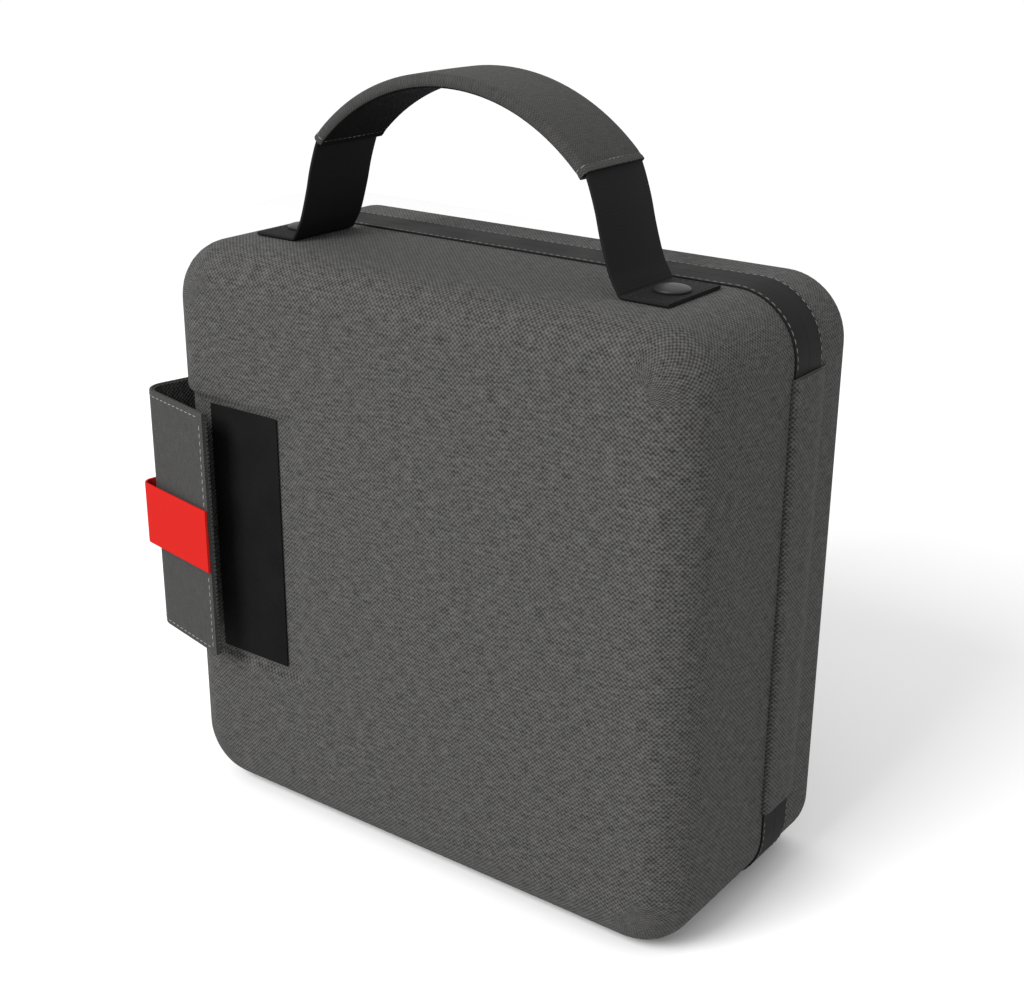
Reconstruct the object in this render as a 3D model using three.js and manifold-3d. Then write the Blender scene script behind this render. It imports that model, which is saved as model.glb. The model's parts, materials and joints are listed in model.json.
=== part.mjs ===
// A battery power station carried in its own fabric-covered clamshell case. The case opens at the back on a zip
// and a fabric hinge, a flap at its left front corner covers the port panel, and a padded webbing handle stands
// on top.
// Millimetres, +X to the right, +Y to the back, +Z up. The origin is under the middle of the case.
import * as THREE from "three";
import { mergeVertices } from "three/addons/utils/BufferGeometryUtils.js";
import Module from "manifold-3d";

const wasm = await Module();
wasm.setup();

// ---------- Driving dimensions ----------
const caseWidth = 280;
const caseHeight = 273;
const caseDepth = 126.6;
const cornerRadius = 28; // corners of the outline, seen from the front
const frontFillet = 20;
const backFillet = 8;
const wall = 5;
const gap = 0.3; // between pieces that touch
const cornerSteps = 5;
const filletSteps = 4;

const side = caseWidth / 2;
const frontFace = -caseDepth / 2;
const backFace = caseDepth / 2;

// Zip band: two coated tapes that meet edge to edge over a coil.
const tapeFront = 12.7;
const tapeBack = 35.2;
const zipLine = (tapeFront + tapeBack) / 2;
const seam = 0.15; // half of the gap between the two tapes
const rebate = 0.9; // the shells step in under the tapes
const tapeProud = 0.8;
const shellEdge = 3; // each shell ends this far from the zip line
const coilThickness = 2;

// Fabric hinge on the right side, folded on its outer face.
const hingeBottom = 40.6;
const hingeTop = 240;
const hingeProud = 2.9;
const hingeBack = 41;

// Flap on the left front corner, and the recess that it closes into.
const recess = { depth: 2.5, bottom: 75, top: 200.4, bevel: 4, rampStart: -68, rampEnd: -57 };
const flap = { bottom: 79.8, height: 120.4, panel: 1.4, liner: 0.7, bend: 10, open: 12.8 };
const flapHingeX = -side;
const flapHingeY = 11.7;
const flapSide = -side - 0.6; // outer faces of the closed flap
const flapFace = frontFace - 4.2;
const flapEdge = -86.2;
const pullBand = { bottom: 122.6, height: 30.8, thickness: 1.2, start: -44, loose: 2, bend: 5 };
const patch = { left: -115.5, right: -74, bottom: 77, top: 199.4, thickness: 0.8 };

// Window behind the flap, and the port panel in it.
const windowOpening = { front: -36, back: 4, bottom: 92, top: 190 };
const panelInset = 1.5;
const panelFace = -136.4;
const panelDepth = 6.7;
const panelSkin = 2.5;

// Foam and power unit.
const foamInset = wall + gap;
const foamThickness = 5;
const unitInset = foamInset + foamThickness + gap;
const unitWall = 3;
const unitBack = 43;
const backPlate = 2.7;
const lidFoamWall = 2.5;
const lidFoamFace = 48.2;

// Handle.
const strap = { width: 40, thickness: 1.5, y: -13.5, end: 108.4, fold: 87.3 };
const grip = { top: 352.2, radius: 96.8, thickness: 6, width: 42.6, halfAngle: 47.2, skin: 1 };
const strapRadius = grip.radius - grip.skin - strap.thickness / 2 - 1.5 * gap;
const rivet = { x: 98, head: 7.5, dome: 2, post: 2, washer: 6.5 };

// ---------- Materials ----------
function finish(color, roughness, metalness = 0) {
  return new THREE.MeshStandardMaterial({ color, roughness, metalness });
}
const greyFabric = finish(0x4f4e4c, 0.95);
const blackWebbing = finish(0x1b1b1b, 0.85);
const coatedTape = finish(0x222222, 0.6);
const redWebbing = finish(0xe8302c, 0.8);
const blackLiner = finish(0x141414, 0.95);
const foamGrey = finish(0x3a3b3c, 0.95);
const darkPlastic = finish(0x26282a, 0.55);
const panelPlastic = finish(0x1a1b1c, 0.45);
const buttonGrey = finish(0x6d7072, 0.5);
const darkMetal = finish(0x3a3a3a, 0.4, 0.8);
const plainSteel = finish(0x9a9c9e, 0.35, 0.9);
const aluminium = finish(0xb4b7ba, 0.4, 0.9);
const cellBlue = finish(0x2b5fa8, 0.5);
const copper = finish(0xb87333, 0.3, 1);
const boardGreen = finish(0x1f5a35, 0.6);
const smokedGlass = finish(0x101418, 0.1);

// ---------- Geometry tools ----------
function facingOut(positions, faces) {
  const corners = [new THREE.Vector3(), new THREE.Vector3(), new THREE.Vector3()];
  let volume = 0;
  for (let i = 0; i < faces.length; i += 3) {
    corners.forEach((corner, k) => corner.fromArray(positions, 3 * faces[i + k]));
    volume += corners[0].dot(corners[1].cross(corners[2]));
  }
  if (volume < 0) faces.reverse();
  const geometry = new THREE.BufferGeometry();
  geometry.setAttribute("position", new THREE.Float32BufferAttribute(positions, 3));
  geometry.setIndex(faces);
  return geometry;
}

// Closed skin over rings of equal length. The end rings are capped as fans from their first point.
function loft(rings) {
  const count = rings[0].length;
  const faces = [];
  for (let r = 0; r + 1 < rings.length; r++) {
    for (let i = 0; i < count; i++) {
      const a = r * count + i;
      const b = r * count + ((i + 1) % count);
      faces.push(a, b, b + count, a, b + count, a + count);
    }
  }
  const last = (rings.length - 1) * count;
  for (let i = 1; i + 1 < count; i++) {
    faces.push(0, i + 1, i, last, last + i, last + i + 1);
  }
  return facingOut(rings.flat().flatMap((p) => p.toArray()), faces);
}

function solidOf(geometry) {
  const bare = new THREE.BufferGeometry();
  bare.setAttribute("position", geometry.getAttribute("position"));
  if (geometry.index) bare.setIndex(geometry.index);
  const merged = mergeVertices(bare, 1e-4);
  const vertProperties = new Float32Array(merged.getAttribute("position").array);
  const triVerts = new Uint32Array(merged.index.array);
  return new wasm.Manifold(new wasm.Mesh({ numProp: 3, vertProperties, triVerts }));
}

function geometryOf(solid) {
  const { vertProperties, triVerts } = solid.getMesh();
  const geometry = new THREE.BufferGeometry();
  geometry.setAttribute("position", new THREE.BufferAttribute(vertProperties, 3));
  geometry.setIndex(new THREE.BufferAttribute(triVerts, 1));
  return geometry;
}

function cut(geometry, ...tools) {
  return geometryOf(tools.reduce((solid, tool) => solid.subtract(solidOf(tool)), solidOf(geometry)));
}

function join(geometry, ...others) {
  return geometryOf(others.reduce((solid, other) => solid.add(solidOf(other)), solidOf(geometry)));
}

function range(count) {
  return Array.from({ length: count }, (_, i) => i);
}

// The case's outline at depth y, moved in by inset all round. It never goes below the surface it stands on.
function caseRing(y, inset) {
  const radius = Math.max(cornerRadius - inset, 1);
  const right = side - inset - radius;
  const low = inset + radius;
  const high = caseHeight - inset - radius;
  const centres = [[right, high], [-right, high], [-right, low], [right, low]];
  return centres.flatMap(([x, z], quarter) =>
    range(cornerSteps + 1).map((i) => {
      const angle = (quarter + i / cornerSteps) * (Math.PI / 2);
      const height = Math.max(z + radius * Math.sin(angle), 0);
      return new THREE.Vector3(x + radius * Math.cos(angle), y, height);
    }),
  );
}

// Rings of a rounded edge that starts on the flat face at depth y; direction is 1 towards the back.
function filletRings(y, inset, radius, direction) {
  return range(filletSteps + 1).map((i) => {
    const angle = ((i / filletSteps) * Math.PI) / 2;
    return caseRing(y + direction * radius * (1 - Math.cos(angle)), inset + radius * (1 - Math.sin(angle)));
  });
}

// A tray that fills the front of the case from inset inwards: the front shell, its foam or the power unit.
function frontTray(inset, thickness, back) {
  const outerRadius = Math.max(frontFillet - inset, 3);
  const innerRadius = Math.max(outerRadius - thickness, 1);
  const outer = [...filletRings(frontFace + inset, inset, outerRadius, 1), caseRing(back, inset)];
  const innerInset = inset + thickness;
  const inner = [
    ...filletRings(frontFace + innerInset, innerInset, innerRadius, 1),
    caseRing(back + 1, innerInset),
  ];
  return cut(loft(outer), loft(inner));
}

// Strip round the case, from the top of the fabric hinge to its foot the long way.
function bandRoundCase(yFront, yBack, outerInset, innerInset) {
  const rings = [outerInset, innerInset].map((inset) => {
    const ring = caseRing(0, inset);
    const x = side - inset;
    return [new THREE.Vector3(x, 0, hingeTop + gap), ...ring, new THREE.Vector3(x, 0, hingeBottom - gap)];
  });
  return loft(
    rings[0].map((outer, i) => {
      const inner = rings[1][i];
      return [
        new THREE.Vector3(outer.x, yFront, outer.z),
        new THREE.Vector3(outer.x, yBack, outer.z),
        new THREE.Vector3(inner.x, yBack, inner.z),
        new THREE.Vector3(inner.x, yFront, inner.z),
      ];
    }),
  );
}

function box(x0, x1, y0, y1, z0, z1) {
  const geometry = new THREE.BoxGeometry(x1 - x0, y1 - y0, z1 - z0);
  return geometry.translate((x0 + x1) / 2, (y0 + y1) / 2, (z0 + z1) / 2);
}

function extrude(shape, depth, curveSegments = 2) {
  return new THREE.ExtrudeGeometry(shape, { depth, bevelEnabled: false, curveSegments });
}

function roundedRectangle(a0, a1, b0, b1, radius) {
  const shape = new THREE.Shape();
  shape.absarc(a1 - radius, b1 - radius, radius, 0, Math.PI / 2);
  shape.absarc(a0 + radius, b1 - radius, radius, Math.PI / 2, Math.PI);
  shape.absarc(a0 + radius, b0 + radius, radius, Math.PI, 1.5 * Math.PI);
  shape.absarc(a1 - radius, b0 + radius, radius, 1.5 * Math.PI, 2 * Math.PI);
  shape.closePath();
  return shape;
}

// Turns a shape drawn in Y and Z into a plate between two values of X.
function plateAlongX(shape, x0, x1) {
  const turn = new THREE.Matrix4().makeBasis(
    new THREE.Vector3(0, 1, 0),
    new THREE.Vector3(0, 0, 1),
    new THREE.Vector3(1, 0, 0),
  );
  return extrude(shape, x1 - x0).applyMatrix4(turn).translate(x0, 0, 0);
}

// Turns a shape drawn in X and Z into a plate between two values of Y.
function plateAlongY(shape, y0, y1, curveSegments = 2) {
  const turn = new THREE.Matrix4().makeBasis(
    new THREE.Vector3(1, 0, 0),
    new THREE.Vector3(0, 0, 1),
    new THREE.Vector3(0, -1, 0),
  );
  return extrude(shape, y1 - y0, curveSegments).applyMatrix4(turn).translate(0, y1, 0);
}

function rodAlongX(x0, x1, y, z, radius, sides = 16) {
  const rod = new THREE.CylinderGeometry(radius, radius, x1 - x0, sides).rotateZ(Math.PI / 2);
  return rod.translate((x0 + x1) / 2, y, z);
}

function rodAlongY(y0, y1, x, z, radius, sides = 12) {
  return new THREE.CylinderGeometry(radius, radius, y1 - y0, sides).translate(x, (y0 + y1) / 2, z);
}

function rodAlongZ(z0, z1, x, y, radius, sides = 16) {
  const rod = new THREE.CylinderGeometry(radius, radius, z1 - z0, sides).rotateX(Math.PI / 2);
  return rod.translate(x, y, (z0 + z1) / 2);
}

// Solid of revolution about Z, from a profile of [radius, height] points that starts and ends on the axis.
function turned(profile, x, y, sides = 20) {
  const points = profile.map(([radius, height]) => new THREE.Vector2(radius, height));
  return new THREE.LatheGeometry(points, sides).rotateX(Math.PI / 2).translate(x, y, 0);
}

// Outline of a band of even thickness along a centre line.
function ribbonShape(line, thickness) {
  const offset = (sign) =>
    line.map((point, i) => {
      const before = line[Math.max(i - 1, 0)];
      const after = line[Math.min(i + 1, line.length - 1)];
      const along = after.clone().sub(before).setLength((sign * thickness) / 2);
      return new THREE.Vector2(point.x - along.y, point.y + along.x);
    });
  return new THREE.Shape([...offset(1), ...offset(-1).reverse()]);
}

const object = new THREE.Group();

function add(name, geometry, material, parent = object) {
  const mesh = new THREE.Mesh(geometry, material);
  mesh.name = name;
  parent.add(mesh);
}

// ---------- Front shell, its zip half and foam ----------
// Space above the recess floor: it follows the left side, the rounded front edge and the front face.
function recessSpace() {
  const steps = [
    [recess.bottom - recess.bevel - 0.2, -0.2],
    [recess.bottom, recess.depth],
    [recess.top, recess.depth],
    [recess.top + recess.bevel + 0.2, -0.2],
  ];
  const clear = 10;
  return loft(
    steps.map(([z, depth]) => {
      const arc = range(filletSteps + 1).map((i) => {
        const angle = ((i / filletSteps) * Math.PI) / 2;
        const reach = frontFillet - depth;
        const [x, y] = [-side + frontFillet, frontFace + frontFillet];
        return [x - reach * Math.cos(angle), y - reach * Math.sin(angle)];
      });
      const outline = [
        [-side - clear, frontFace - clear],
        [-side - clear, tapeFront + 0.05],
        [-side + depth, tapeFront + 0.05],
        ...arc,
        [recess.rampStart, frontFace + depth],
        [recess.rampEnd, frontFace - 0.1],
        [recess.rampEnd, frontFace - clear],
      ];
      return outline.map(([x, y]) => new THREE.Vector3(x, y, z));
    }),
  );
}

function windowSpace() {
  const { front, back, bottom, top } = windowOpening;
  return plateAlongX(roundedRectangle(front, back, bottom, top, 4), -side - 1, -side + 20);
}

function rivetHoles() {
  const radius = rivet.post + gap;
  return [-1, 1].map((s) => rodAlongZ(caseHeight - 12, caseHeight + 4, s * rivet.x, strap.y, radius, 12));
}

function frontShell() {
  const edge = zipLine - shellEdge;
  const outer = loft([
    ...filletRings(frontFace, 0, frontFillet, 1),
    caseRing(tapeFront, 0),
    caseRing(tapeFront, rebate),
    caseRing(edge, rebate),
  ]);
  const inner = loft([
    ...filletRings(frontFace + wall, wall, frontFillet - wall, 1),
    caseRing(edge + 1, wall),
  ]);
  return cut(outer, inner, recessSpace(), windowSpace(), ...rivetHoles());
}

function frontFoam() {
  const pockets = [-1, 1].map((s) =>
    rodAlongZ(caseHeight - 10.6, caseHeight - 4, s * rivet.x, strap.y, rivet.washer + 1, 16),
  );
  return cut(frontTray(foamInset, foamThickness, zipLine - shellEdge - 0.9), windowSpace(), ...pockets);
}

function hookPatch() {
  const back = frontFace + recess.depth - gap;
  const { left, right, bottom, top, thickness } = patch;
  return box(left, right, back - thickness, back, bottom, top);
}

add("front_shell", frontShell(), greyFabric);
add("front_foam", frontFoam(), foamGrey);
add("front_zip_tape", bandRoundCase(tapeFront + seam, zipLine - seam, -tapeProud, rebate - gap), coatedTape);
add(
  "front_zip_coil",
  bandRoundCase(zipLine - shellEdge + gap, zipLine - seam, rebate, rebate + coilThickness),
  blackWebbing,
);
add("hook_patch", hookPatch(), blackLiner);

// ---------- Handle ----------
const gripCentre = grip.top - grip.radius;

function onGrip(radius, degrees) {
  const angle = THREE.MathUtils.degToRad(degrees);
  return new THREE.Vector2(radius * Math.sin(angle), gripCentre + radius * Math.cos(angle));
}

function gripSector(outer, inner, halfAngle) {
  const steps = 14;
  const angles = range(steps + 1).map((i) => halfAngle * ((2 * i) / steps - 1));
  const top = angles.map((angle) => onGrip(outer, angle));
  const bottom = angles.map((angle) => onGrip(inner, angle)).reverse();
  return new THREE.Shape([...top, ...bottom]);
}

function handleStrap() {
  const padHeight = caseHeight + gap + strap.thickness / 2;
  const arc = range(8).map((i) => onGrip(strapRadius, (grip.halfAngle * i) / 7));
  const leg = new THREE.CatmullRomCurve3(
    [
      [71.6, 314.2],
      [74.4, 305.8],
      [77.1, 295.4],
      [81, 283.4],
      [84.3, 277],
    ].map(([x, z]) => new THREE.Vector3(x, z, 0)),
  )
    .getPoints(7)
    .map(({ x, y }) => new THREE.Vector2(x, y));
  const pad = [new THREE.Vector2(strap.fold, padHeight), new THREE.Vector2(strap.end, padHeight)];
  const right = [...arc, ...leg, ...pad];
  const left = right.slice(1).map(({ x, y }) => new THREE.Vector2(-x, y));
  const line = [...left.reverse(), ...right];
  const band = plateAlongY(
    ribbonShape(line, strap.thickness),
    strap.y - strap.width / 2,
    strap.y + strap.width / 2,
  );
  return cut(band, ...rivetHoles());
}

function gripCover() {
  const half = grip.width / 2;
  const inner = grip.radius - grip.thickness;
  const outside = plateAlongY(gripSector(grip.radius, inner, grip.halfAngle), strap.y - half, strap.y + half);
  const space = gripSector(grip.radius - grip.skin, inner + grip.skin, grip.halfAngle + 2);
  return cut(outside, plateAlongY(space, strap.y - half + grip.skin, strap.y + half - grip.skin));
}

function gripFoam() {
  const half = grip.width / 2 - grip.skin - gap;
  const top = strapRadius - strap.thickness / 2 - 1.6 * gap;
  const bottom = grip.radius - grip.thickness + grip.skin + gap;
  return plateAlongY(gripSector(top, bottom, grip.halfAngle - 1), strap.y - half, strap.y + half);
}

function rivetBody(x) {
  const seat = caseHeight + strap.thickness + 2 * gap;
  const foot = caseHeight - wall - 2.9;
  const profile = [
    [0, foot],
    [3.4, foot],
    [3.4, foot + 0.9],
    [rivet.post, foot + 0.9],
    [rivet.post, seat],
    [rivet.head, seat],
    [rivet.head, seat + 0.6],
    [rivet.head * 0.8, seat + 0.6 + rivet.dome * 0.6],
    [rivet.head * 0.45, seat + rivet.dome * 0.95 + 0.5],
    [0, seat + rivet.dome + 0.6],
  ];
  return turned(profile, x, strap.y, 12);
}

function rivetWasher(x) {
  const top = caseHeight - wall - gap;
  const disc = rodAlongZ(top - 1.4, top, x, strap.y, rivet.washer);
  return cut(disc, rodAlongZ(top - 3, top + 3, x, strap.y, rivet.post + gap, 12));
}

add("handle_strap", handleStrap(), blackWebbing);
add("handle_grip_cover", gripCover(), greyFabric);
add("handle_grip_foam", gripFoam(), foamGrey);
[["left", -1], ["right", 1]].forEach(([name, s]) => {
  add(`handle_rivet_${name}`, rivetBody(s * rivet.x), darkMetal);
  add(`handle_washer_${name}`, rivetWasher(s * rivet.x), plainSteel);
});

// ---------- Power unit: housing and port panel ----------
const panelOutline = {
  front: windowOpening.front + panelInset,
  back: windowOpening.back - panelInset,
  bottom: windowOpening.bottom + panelInset,
  top: windowOpening.top - panelInset,
};
const panelMiddle = (panelOutline.front + panelOutline.back) / 2;
const screwReach = side - unitInset - 12.5;
const screwCorners = [
  [-screwReach, unitInset + 12.5],
  [screwReach, unitInset + 12.5],
  [-screwReach, caseHeight - unitInset - 12.5],
  [screwReach, caseHeight - unitInset - 12.5],
];

function unitHousing() {
  const bosses = screwCorners.map(([x, z]) => {
    const post = rodAlongY(unitBack - 16, unitBack, x, z, 5, 12);
    const wallSide = Math.sign(x) * (side - unitInset - 1);
    const [left, right] = [Math.min(x, wallSide), Math.max(x, wallSide)];
    return join(post, box(left, right, unitBack - 16, unitBack, z - 2, z + 2));
  });
  const holes = screwCorners.map(([x, z]) => rodAlongY(unitBack - 12, unitBack + 1, x, z, 1.9, 10));
  const { front, back, bottom, top } = panelOutline;
  const portOpening = box(-side, -side + unitInset + unitWall + 1, front + 2, back - 2, bottom + 2, top - 2);
  return cut(join(frontTray(unitInset, unitWall, unitBack), ...bosses), ...holes, portOpening);
}

const vents = range(7).map((i) => ({ z: 180 + 8 * i, x: 60 }));

function unitBackPlate() {
  const near = unitBack + gap;
  const plate = loft([caseRing(near, unitInset), caseRing(near + backPlate, unitInset)]);
  const holes = screwCorners.map(([x, z]) => rodAlongY(near - 1, near + backPlate + 1, x, z, 1.9, 10));
  const slots = vents.map(({ x, z }) => box(x - 30, x + 30, near - 1, near + backPlate + 1, z - 2, z + 2));
  return cut(plate, ...holes, ...slots);
}

function plateScrew([x, z]) {
  const head = unitBack + gap + backPlate + gap;
  return join(rodAlongY(head, head + 0.9, x, z, 3.4, 10), rodAlongY(unitBack - 11, head + 0.3, x, z, 1.5, 8));
}

// What sits in the port panel. Each has an outline in Y and Z; holes in the panel follow with a small gap.
const usb = {
  a: { size: [13, 5.6], radius: 0.8, depth: 13, mouth: [11, 3.6] },
  c: { size: [9.4, 3.8], radius: 1.8, depth: 9, mouth: [7.8, 2] },
};
const usbRows = [109, 119];
const outlets = [
  { name: "ac_socket", y: panelMiddle, z: 169.5, size: [28, 28], radius: 5, depth: 17 },
  { name: "display_lens", y: panelMiddle, z: 145.5, size: [26, 11], radius: 1.5, depth: 2.2 },
  ...usbRows.flatMap((z, i) => [
    { name: `usb_a_port_${i + 1}`, y: panelMiddle - 6.5, z, ...usb.a },
    { name: `usb_c_port_${i + 1}`, y: panelMiddle + 8, z, ...usb.c },
  ]),
];
const buttons = [
  { name: "power_button", y: panelMiddle - 7.5, z: 131.5 },
  { name: "ac_button", y: panelMiddle + 7.5, z: 131.5 },
];
const buttonRadius = 4.6;
const buttonProud = 1.4;
const inputSocket = { y: panelMiddle, z: 100, radius: 4 };

function outletShape({ y, z, size, radius }, grow = 0) {
  const [width, height] = size;
  const a = width / 2 + grow;
  const b = height / 2 + grow;
  return roundedRectangle(y - a, y + a, z - b, z + b, radius + grow);
}

function portPanel() {
  const { front, back, bottom, top } = panelOutline;
  const through = [panelFace - 1, panelFace + panelDepth + 1];
  const body = plateAlongX(roundedRectangle(front, back, bottom, top, 3), panelFace, panelFace + panelDepth);
  const rim = 2.5;
  const room = box(
    panelFace + panelSkin,
    panelFace + panelDepth + 1,
    front + rim,
    back - rim,
    bottom + rim,
    top - rim,
  );
  const outletHoles = outlets.map((outlet) => plateAlongX(outletShape(outlet, gap), ...through));
  const buttonHoles = buttons.map(({ y, z }) => rodAlongX(...through, y, z, buttonRadius + gap));
  const inputHole = rodAlongX(...through, inputSocket.y, inputSocket.z, inputSocket.radius + gap);
  return cut(body, room, ...outletHoles, ...buttonHoles, inputHole);
}

function outletBody(outlet) {
  const face = panelFace - 0.5;
  const body = plateAlongX(outletShape(outlet), face, face + outlet.depth);
  const { y, z } = outlet;
  if (outlet.name === "ac_socket") {
    const slots = [y - 6.35, y + 6.35].map((at) => box(face - 1, face + 12, at - 1, at + 1, z + 0.5, z + 8.5));
    return cut(body, ...slots, rodAlongX(face - 1, face + 12, y, z - 6.5, 2.4, 12));
  }
  if (!outlet.mouth) return body;
  const [a, b] = outlet.mouth.map((size) => size / 2);
  const mouth = box(face - 1, face + 7, y - a, y + a, z - b, z + b);
  const tongue = box(face + 0.6, face + 8, y - a + 1, y + a - 1, z - 0.35, z + 0.35);
  return cut(body, cut(mouth, tongue));
}

function inputSocketBody() {
  const { y, z, radius } = inputSocket;
  const face = panelFace - 0.5;
  const bore = rodAlongX(face - 1, face + 8, y, z, radius - 1.2);
  const pin = rodAlongX(face + 1, face + 9, y, z, 0.9, 8);
  return join(cut(rodAlongX(face, face + 11, y, z, radius), bore), pin);
}

function pushButton({ y, z }) {
  const inside = panelFace + panelSkin;
  const cap = rodAlongX(panelFace - buttonProud, inside + 2, y, z, buttonRadius);
  const flange = rodAlongX(inside + 1.6, inside + 2.2, y, z, buttonRadius + 1);
  return join(cap, flange);
}

add("unit_housing", unitHousing(), darkPlastic);
add("unit_back_plate", unitBackPlate(), darkPlastic);
screwCorners.forEach((corner, i) => add(`back_plate_screw_${i + 1}`, plateScrew(corner), plainSteel));
add("port_panel", portPanel(), panelPlastic);
outlets.forEach((outlet) => {
  add(outlet.name, outletBody(outlet), outlet.name === "display_lens" ? smokedGlass : panelPlastic);
});
add("input_socket", inputSocketBody(), plainSteel);
buttons.forEach((button) => add(button.name, pushButton(button), buttonGrey));

// ---------- Power unit: battery and electronics ----------
const cell = { count: 8, pitch: 28, width: 27.4, bottom: 14.5, height: 102, front: -46, back: 20 };

function batteryCell(i) {
  const x = (i - (cell.count - 1) / 2) * cell.pitch;
  const half = cell.width / 2;
  const outline = roundedRectangle(x - half, x + half, cell.bottom, cell.bottom + cell.height, 2);
  return plateAlongY(outline, cell.front, cell.back, 1);
}

function heatSink() {
  const base = 130.4;
  const fins = 7;
  const points = [[-24, base]];
  range(fins).forEach((i) => {
    const x = -24 + i * 12;
    points.push([x, base + 30], [x + 3, base + 30]);
    if (i + 1 < fins) points.push([x + 3, base + 5], [x + 12, base + 5]);
  });
  points.push([-24 + (fins - 1) * 12 + 3, base]);
  return plateAlongY(new THREE.Shape(points.map(([x, z]) => new THREE.Vector2(x, z))), -40, 8);
}

function transformer() {
  const bottom = 130.4;
  const profile = [
    [9, bottom],
    [22, bottom],
    [24, bottom + 3],
    [24, bottom + 23],
    [22, bottom + 26],
    [9, bottom + 26],
    [9, bottom],
  ];
  return turned(profile, 92, -14, 16);
}

const fan = { x: 60, z: 204, front: 16, back: 40, half: 40, hub: 15, tip: 36, blades: 7 };

function fanFrame() {
  const { x, z, front, back, half } = fan;
  const block = plateAlongY(roundedRectangle(x - half, x + half, z - half, z + half, 4), front, back);
  const bore = rodAlongY(front - 1, back + 1, x, z, 38, 20);
  const struts = [
    box(x - half + 1, x + half - 1, front, front + 2, z - 2, z + 2),
    box(x - 2, x + 2, front, front + 2, z - half + 1, z + half - 1),
    rodAlongY(front, front + 2, x, z, fan.hub, 16),
  ];
  return join(cut(block, bore), ...struts);
}

function fanRotor() {
  const { x, z, front, back, hub, tip, blades } = fan;
  const near = front + 2 + gap;
  const rotorBlades = range(blades).map((i) =>
    new THREE.BoxGeometry(tip - hub + 3, back - near - 5, 1.6)
      .rotateX(0.6)
      .translate((tip + hub - 3) / 2, 0, 0)
      .rotateY((i / blades) * 2 * Math.PI)
      .translate(x, (near + back) / 2 - 0.5, z),
  );
  return join(rodAlongY(near, back - 2, x, z, hub, 16), ...rotorBlades);
}

range(cell.count).forEach((i) => add(`battery_cell_${i + 1}`, batteryCell(i), cellBlue));
add("battery_board", box(-112, 112, cell.front, cell.back, 117, 118.6), boardGreen);
add("inverter_board", box(-92, 120, -44, 12, 128.4, 130), boardGreen);
add("inverter_heat_sink", heatSink(), aluminium);
add("transformer", transformer(), copper);
add("filter_capacitor", rodAlongZ(130.4, 162, -60, -16, 11, 12), darkPlastic);
add("main_board", box(-114.6, -113, -44, 14, 122, 240), boardGreen);
add("fan_frame", fanFrame(), darkPlastic);
add("fan_rotor", fanRotor(), panelPlastic);

// ---------- Straps that hold the unit in the case ----------
function retainingStrap(z) {
  const back = unitBack + backPlate + 2 * gap + 1.6;
  const outer = side - foamInset - foamThickness + 1.3;
  const legFront = zipLine - shellEdge - 0.6;
  const thickness = 1.3;
  const inner = outer - thickness;
  const outline = [
    [-outer, legFront],
    [-outer, back],
    [outer, back],
    [outer, legFront],
    [inner, legFront],
    [inner, back - thickness],
    [-inner, back - thickness],
    [-inner, legFront],
  ];
  const shape = new THREE.Shape(outline.map(([x, y]) => new THREE.Vector2(x, y)));
  return extrude(shape, 38).translate(0, 0, z - 19);
}

add("retaining_strap_lower", retainingStrap(80), blackWebbing);
add("retaining_strap_upper", retainingStrap(146), blackWebbing);

// ---------- Back shell, its zip half and foam ----------
function backShell() {
  const edge = zipLine + shellEdge;
  const outer = loft([
    ...filletRings(backFace, 0, backFillet, -1),
    caseRing(tapeBack, 0),
    caseRing(tapeBack, rebate),
    caseRing(edge, rebate),
  ]);
  const inner = loft([
    ...filletRings(backFace - wall, wall, backFillet - wall, -1),
    caseRing(edge - 1, wall),
  ]);
  return cut(outer, inner);
}

function lidFoam() {
  const edge = zipLine + shellEdge + 1;
  const back = backFace - foamInset;
  const outer = loft([...filletRings(back, foamInset, backFillet - wall, -1), caseRing(edge, foamInset)]);
  const innerInset = foamInset + lidFoamWall;
  return cut(outer, loft([caseRing(lidFoamFace, innerInset), caseRing(edge - 1, innerInset)]));
}

add("back_shell", backShell(), greyFabric);
add("back_foam", lidFoam(), foamGrey);
add("back_zip_tape", bandRoundCase(zipLine + seam, tapeBack - seam, -tapeProud, rebate - gap), coatedTape);
add(
  "back_zip_coil",
  bandRoundCase(zipLine + seam, zipLine + shellEdge - gap, rebate, rebate + coilThickness),
  blackWebbing,
);

// ---------- Fabric hinge ----------
function hingeStrip(outline) {
  const shape = new THREE.Shape(outline.map(([x, y]) => new THREE.Vector2(x, y)));
  return extrude(shape, hingeTop - hingeBottom).translate(0, 0, hingeBottom);
}

const hingeInside = side - rebate + gap;
const hingeOutside = side + hingeProud;
add(
  "hinge_panel_front",
  hingeStrip([
    [hingeInside, tapeFront + gap],
    [hingeOutside - 1.4, tapeFront + gap],
    [hingeOutside - 0.3, tapeFront + 1.8],
    [hingeOutside, tapeFront + 4],
    [hingeOutside, zipLine - seam],
    [hingeInside, zipLine - seam],
  ]),
  greyFabric,
);
add(
  "hinge_panel_back",
  hingeStrip([
    [hingeInside, zipLine + seam],
    [hingeOutside, zipLine + seam],
    [hingeOutside, tapeBack - 3],
    [side + 1.4, hingeBack],
    [side + gap, hingeBack],
    [side + gap, tapeBack - gap],
    [hingeInside, tapeBack - gap],
  ]),
  greyFabric,
);

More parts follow.
